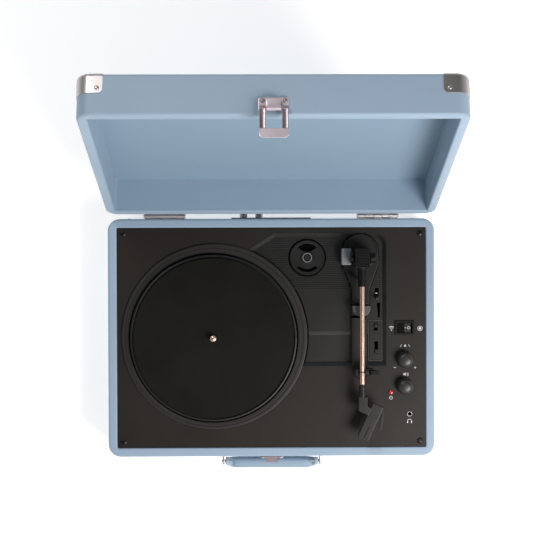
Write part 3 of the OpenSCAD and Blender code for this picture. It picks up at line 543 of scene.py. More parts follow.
def lid_case():
    top, ceiling = RIM + LID_H, RIM + LID_INSIDE
    low = RIM + SEAM
    profile = [(60, top), (OUTER_EDGE + 8, top)]
    profile += arc((LID_EDGE, top - LID_EDGE), LID_EDGE, 90, 180, 5)
    profile += arc((OUTER_EDGE, low + OUTER_EDGE), OUTER_EDGE, 180, 270, 4)
    profile += arc((WALL - INNER_EDGE, low + INNER_EDGE), INNER_EDGE, 270, 360, 4)
    crease = ((0, -0.9), (0.15, -0.3), (0.5, 0), (0.7, 0.6), (1.2, 0.6), (1.6, 0))
    profile += [(WALL + i, ceiling + z) for i, z in crease] + [(60, ceiling)]
    part = Part().loft([case_ring(i, z) for i, z in profile])
    part.done("case_lid", covering, "lid", "lid_shell", lid=True)
    x, y = CASE_W / 2 - WALL, CASE_D / 2 - WALL
    # A darker sheet over the lid's ceiling and side walls, for the shade inside the open lid: painted
    # shade.
    shade_sheet = Part().block((-x - 0.1, -y - 0.1, ceiling - 0.25), (x + 0.1, y + 0.1, ceiling + 0.2), 0.1)
    for side in SIDES:
        low, high = sorted((side * (x - 0.25), side * (x + 0.2)))
        shade_sheet.block((low, -y - 0.1, RIM + 2.2), (high, y + 0.1, ceiling), 0.1)
    shade_sheet.done("lid_painted_shade", lid_shade_covering, "lid", lid=True)


FRONT = Matrix.Rotation(pi / 2, 4, "X")
BACK = Matrix.Rotation(pi, 4, "Z") @ FRONT


def on_front(x, y, z):
    """A frame on the front wall: x stays, y goes up and z comes out of the wall."""
    return Matrix.Translation((x, y, z)) @ FRONT


def on_back(x, y, z):
    return Matrix.Translation((x, y, z)) @ BACK


# ---------- metal corners and rivets ----------

CAP_LEN, CAP_H = 24.0, 19.5
RIVET_IN, RIVET_UP = 19.0, CAP_H - 5


def corner_path():
    """Plan points, outward normals and lift of the free edge along one corner of the case."""
    w, d = CASE_W / 2, CASE_D / 2
    end, bend = CAP_LEN - 2.5, CORNER
    path = [((w - CAP_LEN, d), (0, 1), 2.5), ((w - end, d), (0, 1), 0), ((w - bend, d), (0, 1), 0)]
    for k in range(1, 12):
        a = radians(90 - 7.5 * k)
        n = (cos(a), sin(a))
        path.append(((w - bend + bend * n[0], d - bend + bend * n[1]), n, 0))
    return path + [((w, d - bend), (1, 0), 0), ((w, d - end), (1, 0), 0), ((w, d - CAP_LEN), (1, 0), 2.5)]


def metal_corner(edge, height):
    """One pressed corner at the plus x, plus y corner of a box on z = 0, closed at the top."""
    cx, cy = CASE_W / 2 - CAP_LEN, CASE_D / 2 - CAP_LEN
    columns = []
    for (x, y), (nx, ny), lift in corner_path():
        column = []
        for out, back in ((CAP, False), (0.02, True)):
            side = [(-out, height - CAP_H + lift + (0 if back else 0.3)), (-out, height - edge)]
            side += arc((edge, height - edge), edge + out, 165, 90, 5)
            points = [(x - nx * i, y - ny * i, z) for i, z in side]
            ex, ey, top = points[-1]
            points += [(cx + (ex - cx) * s, cy + (ey - cy) * s, top) for s in (0.6, 0.03)]
            column += points[::-1] if back else points
        columns.append(column)
    return Part().loft(columns)


def corners(edge, height, base=0.0, flip=False):
    """The four corners of a box."""
    part = Part()
    for x in SIDES:
        for y in SIDES:
            pose = Matrix.Diagonal((x, y, -1 if flip else 1, 1))
            part.take(metal_corner(edge, height), Matrix.Translation((0, 0, base)) @ pose)
    return part


def rivet(part, pose):
    """A domed head standing on z = 0 of its pose."""
    dome = [(2.1, 0), (2.1, 0.25)] + arc((0, 0.25), 2.1, 18, 90, 4, 0.95)
    part.take(Part().lathe(dome, steps=24), pose)


def corner_rivets(part, z):
    x, y = CASE_W / 2 - RIVET_IN, CASE_D / 2 - RIVET_IN
    for side in SIDES:
        rivet(part, on_front(side * x, -CASE_D / 2 - CAP, z))
        rivet(part, on_back(side * x, CASE_D / 2 + CAP, z))
        for end in SIDES:
            turn = Matrix.Rotation(side * pi / 2, 4, "Y")
            rivet(part, Matrix.Translation((side * (CASE_W / 2 + CAP), end * y, z)) @ turn)


def hinge_rivets(part, z):
    for x in (-HINGE_X, HINGE_X):
        for dx in (-14, 14):
            rivet(part, on_back(x + dx, CASE_D / 2 + 1.2, z))


def corner_metal():
    feet = [cylinder(place, 9.5, -2, FOOT) for place in FEET]
    part = corners(OUTER_EDGE, CASE_H, RIM, flip=True).cut(*feet)
    part.done("base_corners", silver, "base", "base_corner_caps")
    corners(LID_EDGE, LID_H, RIM).done("lid_corners", silver, "lid", "lid_corner_caps", lid=True)
    part = Part()
    corner_rivets(part, FOOT + RIVET_UP)
    for x in (-9.6, 9.6):
        rivet(part, on_front(x, -CASE_D / 2 - 1.5, RIM - 5))
    hinge_rivets(part, RIM - 12)
    part.done("base_rivet_heads", silver, "base", "base_rivets")
    part = Part()
    corner_rivets(part, RIM + LID_H - RIVET_UP)
    hinge_rivets(part, RIM + 12)
    part.done("lid_rivet_heads", silver, "lid", "lid_rivets", lid=True)
    part = Part()
    for x in (-10, 10):
        rivet(part, on_front(x, -CASE_D / 2 - 1.6, RIM + 13.6))
    part.done("latch_rivet_heads", mauve, "lid", lid=True)


# ---------- hinges ----------


def hinge_leaf(side, body, knuckles, up):
    """A leaf with its knuckles; the base has knuckles 0, 2 and 4, the lid 1 and 3."""
    part = Part()
    length, pitch = 43.0, 8.6
    middle = RIM + (10 if up else -10)
    outline = rounded(length, 14, 1.5)
    part.plate(outline, 0, 1.2, 0.3, on_back(side * HINGE_X, CASE_D / 2, middle))
    for k in knuckles:
        x = side * HINGE_X - length / 2 + (k + 0.5) * pitch
        low, high = (RIM, RIM + 4) if up else (RIM - 4, RIM)
        part.block((x - 4.2, CASE_D / 2, low), (x + 4.2, CASE_D / 2 + 1.2, high), 0.2)
        barrel = [(0.3, -4.2), (2.15, -4.2), (2.4, -3.9), (2.4, 3.9), (2.15, 4.2), (0.3, 4.2)]
        part.lathe(barrel, (x, HINGE_Y, RIM), "X", 32)
    name = ("left" if side < 0 else "right") + "_hinge_" + body
    part.done(name, silver, body, name + "_leaf", lid=up)


def hinges():
    for side in SIDES:
        hinge_leaf(side, "base", (0, 2, 4), False)
        hinge_leaf(side, "lid", (1, 3), True)
    dress(silver, "left_hinge_pin", "right_hinge_pin")


# ---------- latch ----------

LATCH_Y, LATCH_Z = -CASE_D / 2 - 4, RIM + 5.4
LOOP_HALF, LOOP_BAR, LOOP_LOW = 12.8, 5.6, RIM - 25
LOOP_BOW = 5.9


def latch():
    part = Part().plate(rounded(27, 12.6, 1.2), 0, 1.6, 0.4, on_front(0, -CASE_D / 2, RIM + 10.3))
    tongue = [(-6.6, 0), (6.6, 0), (6.6, 7.6), (5.4, 10), (-5.4, 10), (-6.6, 7.6)]
    part.plate(tongue, 0.2, 4, 0.7, on_front(0, -CASE_D / 2, LATCH_Z))
    part.lathe(bar(0.4, 2, -6.6, 6.6, 0.2), (0, LATCH_Y, LATCH_Z), "X", 32)
    part.done("latch_hasp_plate", bright_nickel, "lid", "latch_plate", lid=True, sharp=40)
    dress(silver, "latch_pin")

    loop = Part()
    for x in (-LOOP_HALF, LOOP_HALF - LOOP_BAR):
        loop.lathe(bar(1.06, 2, 0, LOOP_BAR, 0.2), (x, LATCH_Y, LATCH_Z), "X", 32, closed=True)
        half = LOOP_BAR / 2
        top, low = LATCH_Z - 0.6, LOOP_LOW + 7.4
        profile = [(-half, 0.35), (-half + 0.35, 0), (half - 0.35, 0), (half, 0.35), (half, 1.3),
                   (half - 0.3, 1.6), (half - 1.1, 1.6), (half - 1.9, 1.15), (-half + 1.9, 1.15),
                   (-half + 1.1, 1.6), (-half + 0.3, 1.6), (-half, 1.3)]
        rings = [[(x + half + u, LATCH_Y - v, z) for u, v in profile] for z in (low, top)]
        loop.loft(rings)
        loop.block((x, LATCH_Y - LOOP_BOW + 0.2, low), (x + LOOP_BAR, LATCH_Y - 0.2, low + 1.6), 0.3)
    loop.done("latch_loop_bars", mauve, "loop", "latch_loop", lid=True, sharp=40)
    pull = [(-LOOP_HALF + 2.2, 0), (LOOP_HALF - 2.2, 0), (LOOP_HALF, 2.2), (LOOP_HALF, 8.6),
            (-LOOP_HALF, 8.6), (-LOOP_HALF, 2.2)]
    part = Part().plate(pull, 0, 1.6, 0.45, on_front(0, LATCH_Y - LOOP_BOW + 1.6, LOOP_LOW))
    part.done("latch_pull_bar", bright_nickel, "loop", lid=True)

    keeper = Part().plate(rounded(25, 15, 1.5), 0, 1.5, 0.35, on_front(0, -CASE_D / 2, RIM - 9.5))
    front = -CASE_D / 2
    hook = ((0.5, -10), (0.5, -8.5), (7.2, -8.5), (8, -9.3), (8, -13), (6.5, -13), (6.5, -10))
    keeper.loft([[(x, front - out, RIM + z) for out, z in hook] for x in (-6.2, 6.2)])
    keeper.done("latch_catch", mauve, "base", "latch_keeper")


# ---------- handle ----------

GRIP_Y, GRIP_Z = -CASE_D / 2 - 12, FOOT + 20
PIN_Y, PIN_Z = -CASE_D / 2 - 8, FOOT + 38
TAB_X = 48.2


def handle():
    """Padded grip on two tabs, with two rows of stitches along its front, and its metal ends."""
    stations = ((-TAB_X, 0, 1), (-TAB_X, 0.34, 1), (-48, 0.6, 1.05), (-47, 0.8, 1.5), (-44.5, 0.95, 2.4),
                (-40, 1, 2.9), (-30, 1, 3), (-15, 1, 3), (0, 1, 3))
    stations += tuple((-x, t, w) for x, t, w in reversed(stations[:-1]))
    route = [Vector((x, PIN_Y + (GRIP_Y - PIN_Y) * t, PIN_Z + (GRIP_Z - PIN_Z) * t))
             for x, t, w in stations]
    rings = []
    for k, (x, t, w) in enumerate(stations):
        ahead = route[min(k + 1, len(route) - 1)] - route[max(k - 1, 0)]
        ahead.y = 0
        side = Vector((-ahead.z, 0, ahead.x)).normalized()
        thick = 2.0 + (9.0 - 2.0) * (w - 1) / 2
        depth = 4.2 + (6.0 - 4.2) * (w - 1) / 2
        ring = []
        for n in range(24):
            a = 2 * pi * n / 24
            c, s = cos(a), sin(a)
            u = copysign(abs(c) ** 0.75, c) * depth
            v = copysign(abs(s) ** 0.75, s) * thick
            ring.append(tuple(route[k] + Vector((0, u, 0)) + side * v))
        rings.append(ring)
    part = Part().loft(rings).smooth_out(2)
    for x in (-TAB_X, TAB_X):
        part.lathe(bar(1.6, 4.2, -2, 2, 0.6), (x, PIN_Y, PIN_Z), "X", 32, closed=True)
    grip = part.done("carry_handle", covering, "handle", "handle_grip", sharp=60)

    thread = Part()
    for k in range(28):
        x, y = -40.5 + 3 * k, GRIP_Y - 4.75
        for z in (GRIP_Z + 6.9, GRIP_Z - 6.9):
            thread.tube([(x - 0.95, y + 0.35, z), (x - 0.6, y - 0.1, z), (x + 0.6, y - 0.1, z),
                         (x + 0.95, y + 0.35, z)], 0.3, 8)
    thread.done("handle_stitches", thread_blue, "handle")
    for side in SIDES:
        name = ("left" if side < 0 else "right") + "_handle_"
        plate = Part().plate(rounded(13, 16, 2), 0, 1.5, 0.35, on_front(side * 49.5, -CASE_D / 2, PIN_Z))
        ear = [(0, -4.2), (0, 4.2)] + arc((8, 0), 4.2, 90, -90, 12)
        turn = Matrix(((0, 0, 1, side * 52.4 - 1), (-1, 0, 0, -CASE_D / 2), (0, 1, 0, PIN_Z),
                       (0, 0, 0, 1)))
        plate.plate(ear[::-1], 0, 2, 0.35, turn)
        plate.done(name + "mount", silver, "base", name + "bracket")
    dress(silver, "handle_pins")


# ---------- speakers, feet and rear sockets ----------


def outside_fittings():
    slots = 7
    pitch = (GRILLE[1] - 10) / slots
    for side, name in ((-1, "left"), (1, "right")):
        x = side * SPEAKER_X
        part = Part().plate(rounded(*GRILLE, 3), -0.2, 1.2, 0.6, on_front(x, -CASE_D / 2, SPEAKER_Z))
        slot = rounded(GRILLE[0] - 14, pitch * 0.5, pitch * 0.24)
        heights = [SPEAKER_Z - GRILLE[1] / 2 + 5 + (k + 0.525) * pitch for k in range(slots)]
        part.cut(*[Part().plate(slot, -4, 6, 0.01, on_front(x, -CASE_D / 2, z)) for z in heights])
        part.done(name + "_grille", satin_black, "base", name + "_speaker_grille")
    dress(cone_grey, "left_speaker", "right_speaker")

    feet = Part()
    profile = [(3.2, 0.5), (3.7, 0), (7.3, 0), (8, 0.6), (8.2, 1.6), (8.9, 3.4), (9, FOOT), (3.2, FOOT)]
    for place in FEET:
        feet.lathe(profile, (*place, 0), "Z", 48, closed=True)
    feet.done("feet", foot_black, "base", "rubber_feet")

    dress(board_brown, "bottom_panel", edge=0.5)
    dress(silver, "bottom_screws", edge=0.3)
    dress(satin_black, "rear_jack_plate", edge=0.5)
    dress(silver, "rear_jacks", edge=0.2)
    dress(board_green, "main_board")
    for name, x, look in (("left_output_ring", -30, jack_white), ("right_output_ring", -13, jack_red)):
        ring = [(2.6, -0.1), (4.6, -0.1), (4.6, 0.2), (2.6, 0.2)]
        Part().lathe(ring, (x, CASE_D / 2 + 1.6, REAR_Z), "Y", 48, closed=True).done(name, look, "base")


# ---------- deck ----------

AREA_TOP, AREA_RIGHT, AREA_LOW, AREA_CORNER = 112.4, 123.8, -31.6, 13.7
BEVEL, STEP_Y = 4.6, 5.0
PANEL_TOP = FLOOR + 0.45
UNDER_ALL, OVER_ALL = 50, 70


def area_outline():
    """The tonearm area in plan, its left side hidden under the platter's ring."""
    hidden = RING_R - 6.3
    low = AREA_LOW - RING_C[1]
    start = degrees(asin(low / hidden))
    outline = [(RING_C[0] + hidden * cos(radians(start)), AREA_LOW), (AREA_RIGHT, AREA_LOW)]
    outline += arc((AREA_RIGHT - AREA_CORNER, AREA_TOP - AREA_CORNER), AREA_CORNER, 0, 90, 10)
    slope = atan2(17.1, 27.0)
    turn = degrees(slope)
    bend = 8.0
    reach = bend * tan(slope / 2)
    outline += arc((3 + reach, AREA_TOP - bend), bend, 90, 90 + turn, 4)
    outline += arc(RING_C, hidden, 72.2, start, 24)[:-1]
    return outline


def cylinder(centre, radius, low=UNDER_ALL, high=OVER_ALL, steps=96):
    return Part().lathe([(radius, low), (radius, high)], (*centre, 0), "Z", steps)


def prism(outline, low=UNDER_ALL, high=OVER_ALL):
    return Part().loft([at_height(outline, low), at_height(outline, high)])


def slot_cutter(centre, half_width, half_depth):
    x, y = centre
    return box_cutter((x - half_width, y - half_depth, UNDER_ALL),
                      (x + half_width, y + half_depth, OVER_ALL))


def picture_frame(outline, width, low, high):
    """A square-edged band along an outline's inside."""
    inside = inset(outline, width)
    return Part().loft([at_height(outline, low), at_height(outline, high), at_height(inside, high),
                        at_height(inside, low)], closed=True)


def deck():
    play = 0.6
    outline = rounded(CASE_W - 2 * WALL - play, CASE_D - 2 * WALL - play, 1.1)
    part = Part().plate(outline, DECK_UNDER, DECK, 0.5)
    holes = [cylinder(RING_C, RING_R + 0.15, steps=160), prism(area_outline()),
             slot_cutter(ROCKER_C, 9.3, 6.5), cylinder(LED_C, 2.1, steps=32),
             cylinder(PHONES_C, 2.55, steps=48)]
    holes += [cylinder(c, 3.7, steps=48) for c in KNOBS.values()]
    part.cut(*holes)
    part.done("deck_plate", deck_black, "base", "deck_panel")

    screws = Part()
    head = above(DECK, (3.2, -0.2), (3.2, 0.25), (2.8, 0.65), (1.6, 0.95), (0.02, 1))
    for x, y in SCREWS:
        turn = Matrix.Translation((x, y, DECK + 0.8)) @ Matrix.Rotation(radians(20 + x), 4, "Z")
        cross = [Part().block((-u, -v, -0.5), (u, v, 1), 0.01, turn) for u, v in ((2, 0.35), (0.35, 2))]
        screws.take(Part().lathe(head, (x, y, 0), "Z", 32).cut(*cross))
    screws.done("deck_screw_heads", dark_metal, "base", "deck_screws")


def ring():
    """Raised ring with a fine groove, its bore centred on the platter, and the well inside it."""
    top = RING_TOP
    profile = [(90.6, DECK_UNDER, 0), (90.6, top - 0.5, 0), (90.8, top - 0.15, 0), (91.2, top, 0),
               (94.9, top, 0.5), (95.1, top - 0.6, 0.5), (95.7, top - 0.6, 0.5), (95.9, top, 0.5),
               (98.5, top, 1), (99.1, top - 0.25, 1), (RING_R, top - 0.7, 1), (RING_R, DECK_UNDER, 1)]
    rings = []
    for radius, z, share in profile:
        centre = Vector(PLATTER_C).lerp(Vector(RING_C), share)
        rings.append(at_height(circle(centre, radius, 200), z))
    # The ring takes the lighter black: painted light.
    Part().loft(rings, closed=True).done("platter_ring", ring_lit_black, "base", "chassis_plate", sharp=30)

    # A near-black band at the foot of the ring where it meets the basin: painted shadow.
    section = [(RING_R + 0.02, FLOOR - 1.6), (RING_R + 1.7, FLOOR - 1.6), (RING_R + 1.7, FLOOR + 0.05),
               (RING_R + 0.02, FLOOR + 0.3)]
    stations = []
    for k in range(61):
        a = radians(-18.4 + 90.2 * k / 60)
        stations.append([(RING_C[0] + r * cos(a), RING_C[1] + r * sin(a), z) for r, z in section])
    Part().loft(stations).done("ring_painted_shadow", shadow_black, "base", sharp=30)

    inner, outer = 91.5, 92.2
    well = [(0.02, WELL_FLOOR - 1.4), (outer, WELL_FLOOR - 1.4), (outer, DECK_UNDER + 0.5),
            (inner, DECK_UNDER + 0.5), (inner, WELL_FLOOR), (0.02, WELL_FLOOR)]
    part = Part().lathe(well, (*PLATTER_C, 0), "Z", 160)
    part.cut(cylinder(PLATTER_C, 7, 40), cylinder(MOTOR_C, 3, 40))
    part.done("platter_well", chassis_black, "base")


def spans(outline, y):
    """Where a horizontal line runs inside an outline."""
    found = []
    for k, (x0, y0) in enumerate(outline):
        x1, y1 = outline[(k + 1) % len(outline)]
        if (y0 - y) * (y1 - y) < 0:
            found.append(x0 + (x1 - x0) * (y - y0) / (y1 - y0))
    found.sort()
    return list(zip(found[::2], found[1::2]))


def basin():
    """Sunken area for the tonearm: sloping sides, ribbed floor, a step, a bridge and a switch panel."""
    outline = area_outline()
    floor_outline = inset(outline, BEVEL)
    sides = ((0, DECK_UNDER), (0, DECK - 0.3), (0.15, DECK), (0.7, DECK), (1, DECK - 0.25),
             (BEVEL, FLOOR))
    part = Part().loft([at_height(inset(outline, i), z) for i, z in sides])
    lever, stop, speed = (113.3, 46.7), (112, 10.9), (112.6, -11.3)
    front, back = STEP_Y - 2.85, STEP_Y + 1.05
    left, right, low = 10, AREA_RIGHT - BEVEL, AREA_LOW + BEVEL
    step = Part().add(
        [(left, low, LOW_FLOOR), (right, low, LOW_FLOOR), (right, front, LOW_FLOOR),
         (left, front, LOW_FLOOR), (left, low, OVER_ALL), (right, low, OVER_ALL), (right, back, OVER_ALL),
         (left, back, OVER_ALL), (left, back, FLOOR), (right, back, FLOOR)],
        [(0, 1, 2, 3), (4, 5, 6, 7), (0, 1, 5, 4), (3, 2, 9, 8), (8, 9, 6, 7), (1, 2, 9, 6, 5),
         (0, 3, 8, 7, 4)])
    slot = [(113.4, 36.7), (114.5, 21.1), (116.5, 21.1), (117.1, 36.7)]
    openings = [slot_cutter(stop, 2, 4), slot_cutter(speed, 2, 6.5)]
    part.cut(step, prism(inset(pear_outline(), -0.9)), *openings,
             cylinder(ADAPTER_C, ADAPTER_R + 1.4, FLOOR - 1.5), slot_cutter(lever, 2, 6), prism(slot))
    part.block((BRIDGE_X[0], AREA_LOW - 0.2, LOW_FLOOR - 0.6), (BRIDGE_X[1] - 3, 24, DECK - 0.02), 0.7)
    part.block((BRIDGE_X[0], 20, LOW_FLOOR - 0.6), (BRIDGE_X[1], NECK_Y - 0.9, DECK - 0.02), 0.7)
    x0, y0 = SWITCHES[0]
    x1, y1 = SWITCHES[1]
    panel = Part().block((x0, y0, LOW_FLOOR - 0.6), (x1, y1, PANEL_TOP), 0.45).cut(*openings)
    centre = ((x0 + x1) / 2, (y0 + y1) / 2)
    edge = rounded(x1 - x0 - 2.4, y1 - y0 - 2.4, 1.5, centre)
    panel.cut(picture_frame(edge, 0.7, PANEL_TOP - 0.7, PANEL_TOP + 1))
    # A thin light line round the panel's top edge: painted highlight.
    rim = rounded(x1 - x0 - 0.5, y1 - y0 - 0.5, 0.8, centre)
    panel_highlight = picture_frame(rim, 0.4, PANEL_TOP - 0.3, PANEL_TOP + 0.06)
    panel_highlight.done("switch_panel_highlight", painted_light_grey, "base")
    part.take(panel)
    post = above(FLOOR, (0.02, -1.5), (3.3, -1.5), (3.3, 2.6), (2.9, 3), (0.02, 3))
    part.lathe(post, (*ADAPTER_C, 0), "Z", 48)
    part.done("tonearm_basin", chassis_black, "base", sharp=12)

    ribs = Part()
    pear_low, pear_high = PIVOT[1] - 32, PIVOT[1] + 26
    section = [(-0.55, -0.2), (-0.4, 0.32), (-0.15, 0.42), (0.15, 0.42), (0.4, 0.32), (0.55, -0.2)]
    y = 48.0
    while y < 107.4:
        for x0, x1 in spans(floor_outline, y):
            x0 = max(x0, RING_C[0] + sqrt(max(RING_R ** 2 - (y - RING_C[1]) ** 2, 0)))
            cuts = [(x0 + 0.3, x1 - 0.3)]
            gaps = []
            if abs(y - ADAPTER_C[1]) < ADAPTER_R + 1.5:
                w = sqrt((ADAPTER_R + 1.5) ** 2 - (y - ADAPTER_C[1]) ** 2)
                gaps.append((ADAPTER_C[0] - w, ADAPTER_C[0] + w))
            if pear_low - 2 < y < pear_high:
                gaps.append(pear_span(y))
            for g0, g1 in gaps:
                cuts = [piece for a, b in cuts for piece in ((a, min(b, g0)), (max(a, g1), b))
                        if piece[1] - piece[0] > 1.2]
            for a, b in cuts:
                if not (a < 116 and b > 110 and abs(y - lever[1]) < 6.5):
                    ribs.loft([[(x, y + s, FLOOR + h) for s, h in section] for x in (a, b)])
        y += 2.0
    ribs.done("basin_ribs", chassis_black, "base", sharp=60)


# ---------- platter ----------


def platter():
    top = RIM + 5.3
    profile = [(3.02, WELL_FLOOR + 1.2), (9, WELL_FLOOR + 1.2)]
    profile += above(RIM, (9, 2), (60, 2), (60, -4.8), (62, -4.8), (62, 2), (86.5, 2))
    profile += above(DECK, (86.5, -4), (PLATTER_R, -4))
    profile += above(top, (PLATTER_R, -0.9), (PLATTER_R - 0.25, -0.3), (PLATTER_R - 0.9, 0),
                     (MAT_R + 1.9, 0), (MAT_R + 1.6, -0.2))
    profile += above(RIM, (MAT_R + 1.3, 2.9), (MAT_R - 0.3, 2.9), (MAT_R - 0.7, 4.2), (3.02, 4.2))
    part = Part().lathe(profile, (*PLATTER_C, 0), "Z", 200, closed=True)
    part.done("platter_disc", satin_black, "turntable", "platter", sharp=30)
    low = RIM + 4.2
    profile = [(4, low), (MAT_R, low), (MAT_R, MAT_TOP - 0.4), (MAT_R - 0.4, MAT_TOP), (4.6, MAT_TOP),
               (4, MAT_TOP - 0.4)]
    part = Part().lathe(profile, (*PLATTER_C, 0), "Z", 200, closed=True)
    part.done("slip_mat", mat_black, "turntable", "platter_mat", sharp=30)
    profile = [(0.02, WELL_FLOOR - 18), (2.6, WELL_FLOOR - 18), (3, WELL_FLOOR - 17.6), (3, MAT_TOP),
               (SPINDLE_R, MAT_TOP), (SPINDLE_R, SPINDLE_TOP - 2.2)]
    profile += arc((0, SPINDLE_TOP - 2.2), SPINDLE_R, 15, 90, 5, 2.2)
    part = Part().lathe(profile, (*PLATTER_C, 0), "Z", 48)
    part.done("centre_spindle", rose_gold, "turntable", "spindle")
    dress(bronze, "bearing_bush", "motor_pulley")
    dress(motor_metal, "motor")
    dress(belt_black, "drive_belt", edge=0.1)


def adapter():
    low, top = FLOOR - 1.3, FLOOR + 2.7
    profile = [(4.4, low), (18.3, low), (ADAPTER_R, low + 0.7)]
    profile += above(top, (ADAPTER_R, -1.1), (18.7, -0.4), (18.2, 0), (16.8, 0), (16.4, -0.35),
                     (7.6, -0.35), (7, 0.1), (6.2, 0.8), (4.6, 0.8), (4.2, 0.4), (3.7, 0.4))
    profile.append((3.7, low + 0.6))
    part = Part().lathe(profile, (*ADAPTER_C, 0), "Z", 120, closed=True)
    x, y = ADAPTER_C
    lens = arc(ADAPTER_C, 15, 48, 132, 20)[:-1] + arc((x, y + 19), 12.7, 218.2, 321.8, 20)[:-1]
    crescent = arc(ADAPTER_C, 15.4, 222, 318, 20) + arc(ADAPTER_C, 12.0, 310, 230, 16)
    part.cut(prism(lens, low + 0.6, top + 5), prism(crescent, low + 0.6, top + 5))
    # Near-black floors in the two pockets: painted shadow.
    pocket_shadows = prism(inset(lens, 0.1), low + 0.5, low + 1)
    pocket_shadows.take(prism(inset(crescent, 0.1), low + 0.5, low + 1))
    pocket_shadows.done("adapter_pocket_shadows", shadow_black, "adapter")
    # A near-black ring round the adapter's seat in the basin: painted shadow.
    inner, outer = ADAPTER_R + 0.15, ADAPTER_R + 1.35
    seat_shadow = above(FLOOR, (inner, -1.5), (outer, -1.5), (outer, 0.1), (inner, 0.1))
    Part().lathe(seat_shadow, (x, y, 0), "Z", 120, closed=True).done("adapter_seat_shadow", shadow_black, "base")
    part.done("single_adapter", satin_black, "adapter", "adapter_45", sharp=30)
    lip = above(top, (4.05, 0.35), (4.9, 0.35), (5.1, 0.75), (4.9, 0.95), (4.3, 0.95))
    eyelet = Part().lathe(lip, (*ADAPTER_C, 0), "Z", 64, closed=True)
    eyelet.done("adapter_eyelet", pale_plastic, "adapter")


# ---------- tonearm ----------

PEAR_C, PEAR_R, NECK_Y = (PIVOT[0], PIVOT[1] + 6.5), 19.5, 35.2


def pear_outline():
    """Platform under the pivot: a round back that narrows to a straight neck."""
    outline = [(BRIDGE_X[1] - 0.1, NECK_Y), (BRIDGE_X[1] - 0.1, 52)]
    outline += [(PEAR_C[0] + PEAR_R, 78)]
    outline += arc(PEAR_C, PEAR_R, 0, 180, 36)
    outline += [(PEAR_C[0] - PEAR_R, 78), (BRIDGE_X[0] + 0.1, 52), (BRIDGE_X[0] + 0.1, NECK_Y)]
    return outline


def pear_span(y):
    found = spans(pear_outline(), y + 1e-3)
    if not found:
        return (PEAR_C[0], PEAR_C[0])
    return (found[0][0] - 0.8, found[0][1] + 0.8)


def arm_mount():
    top = DECK + 1.5
    part = Part().plate(pear_outline(), DECK_UNDER, top, 1.1)
    part.cut(cylinder(PIVOT, 4.05, steps=48))
    part.done("arm_platform", satin_black, "base", "arm_base", sharp=30)
    # The post's pale blue-grey is partly its own tone and partly a painted reflection of the lid on its
    # glossy top.
    post = Part().block((74.5, 77.6, top - 1), (85.2, 95.3, RIM + 10), 1.3)
    post.done("arm_side_post", pale_plastic, "base")
    rim = [(PEAR_R - i, top + z) for i, z in ((2.4, -0.3), (1.6, -0.3), (1.6, 0.35), (2, 0.5), (2.4, 0.35))]
    Part().lathe(rim, (*PEAR_C, 0), closed=True).done("arm_platform_rim", satin_black, "base")

    x, y = PIVOT
    yoke = Part()
    post = above(DECK_UNDER, (0.02, -6), (4, -6)) + above(top, (4, 0.3), (9.3, 0.3), (9.8, 0.8))
    yoke.lathe(post + above(RIM, (9.8, 10.6), (9.3, 11.1), (0.02, 11.1)), (x, y, 0), "Z", 64)
    yoke.block((x - 12, y - 5.5, RIM + 11), (x + 14, y + 5.5, RIM + 12.8), 0.4)
    for x0, x1 in ((x - 12, x - 8.9), (x + 8.9, x + 14)):
        ear = [(-5.5, 0), (5.5, 0), (5.5, 8.5)] + arc((0, 8.2), 5.5, 15, 165, 10, 4.8) + [(-5.5, 8.5)]
        turn = Matrix(((0, 0, 1, x0), (1, 0, 0, y), (0, 1, 0, RIM + 11), (0, 0, 0, 1)))
        yoke.plate(ear, 0, x1 - x0, 0.4, turn)
    # The gimbal takes the darkest black, partly its own colour and partly painted shade round the arm
    # block.
    yoke.done("arm_gimbal", deep_black, "yoke", "arm_yoke")


def tonearm():
    x, y = PIVOT
    low, high = ARM_Z - 4.5, ARM_Z + 8.5
    part = Part().block((x - 7.9, y - 10.2, low), (x + 7.9, y + 10.2, high - 0.7), 0.5)
    for k in range(12):
        r = y - 9.9 + k * 1.66
        part.block((x - 7.9, r, high - 1.8), (x + 7.9, r + 1.15, high), 0.3)
    part.lathe([(0.02, -0.3), (2.6, -0.3), (2.6, 0), (0.02, 0)], (x - 7.8, y, ARM_Z), "X", 32)
    part.lathe([(0.02, 0), (2.6, 0), (2.6, 0.5), (2.3, 0.7), (0.02, 0.7)], (x + 7.8, y, ARM_Z), "X", 32)
    part.lathe([(0.02, -11.5), (1.5, -11.5), (1.5, 11.5), (0.02, 11.5)], (x, y, ARM_Z), "X", 24)
    sleeve = [(2.75, -30.3), (3.9, -30.3), (4.3, -29.8), (4.3, -24), (4, -23.6), (4, -22.9),
              (4.3, -22.5), (4.3, -12.5), (5, -11.5), (5.4, -10.2), (2.75, -10.2)]
    part.lathe(sleeve, (x, y, ARM_Z), "Y", 48, closed=True)
    part.done("arm_block", deep_black, "tonearm", "arm_body", sharp=30)

    wall = [(2.1, -140.5), (2.7, -140.5), (2.7, -16.5), (2.1, -16.5)]
    tube = Part().lathe(wall, (x, y, ARM_Z), "Y", 48, closed=True)
    tube.done("arm_wand", rose_gold, "tonearm", "arm_tube")
    band = Part()
    for at, half in ((-120.6, 0.55), (-134.6, 0.8)):
        section = above(at, (2.66, -half), (2.85, -half), (2.95, 0), (2.85, half), (2.66, half))
        band.lathe(section, (x, y, ARM_Z), "Y", 48, closed=True)
    band.done("arm_wand_bands", satin_black, "tonearm")


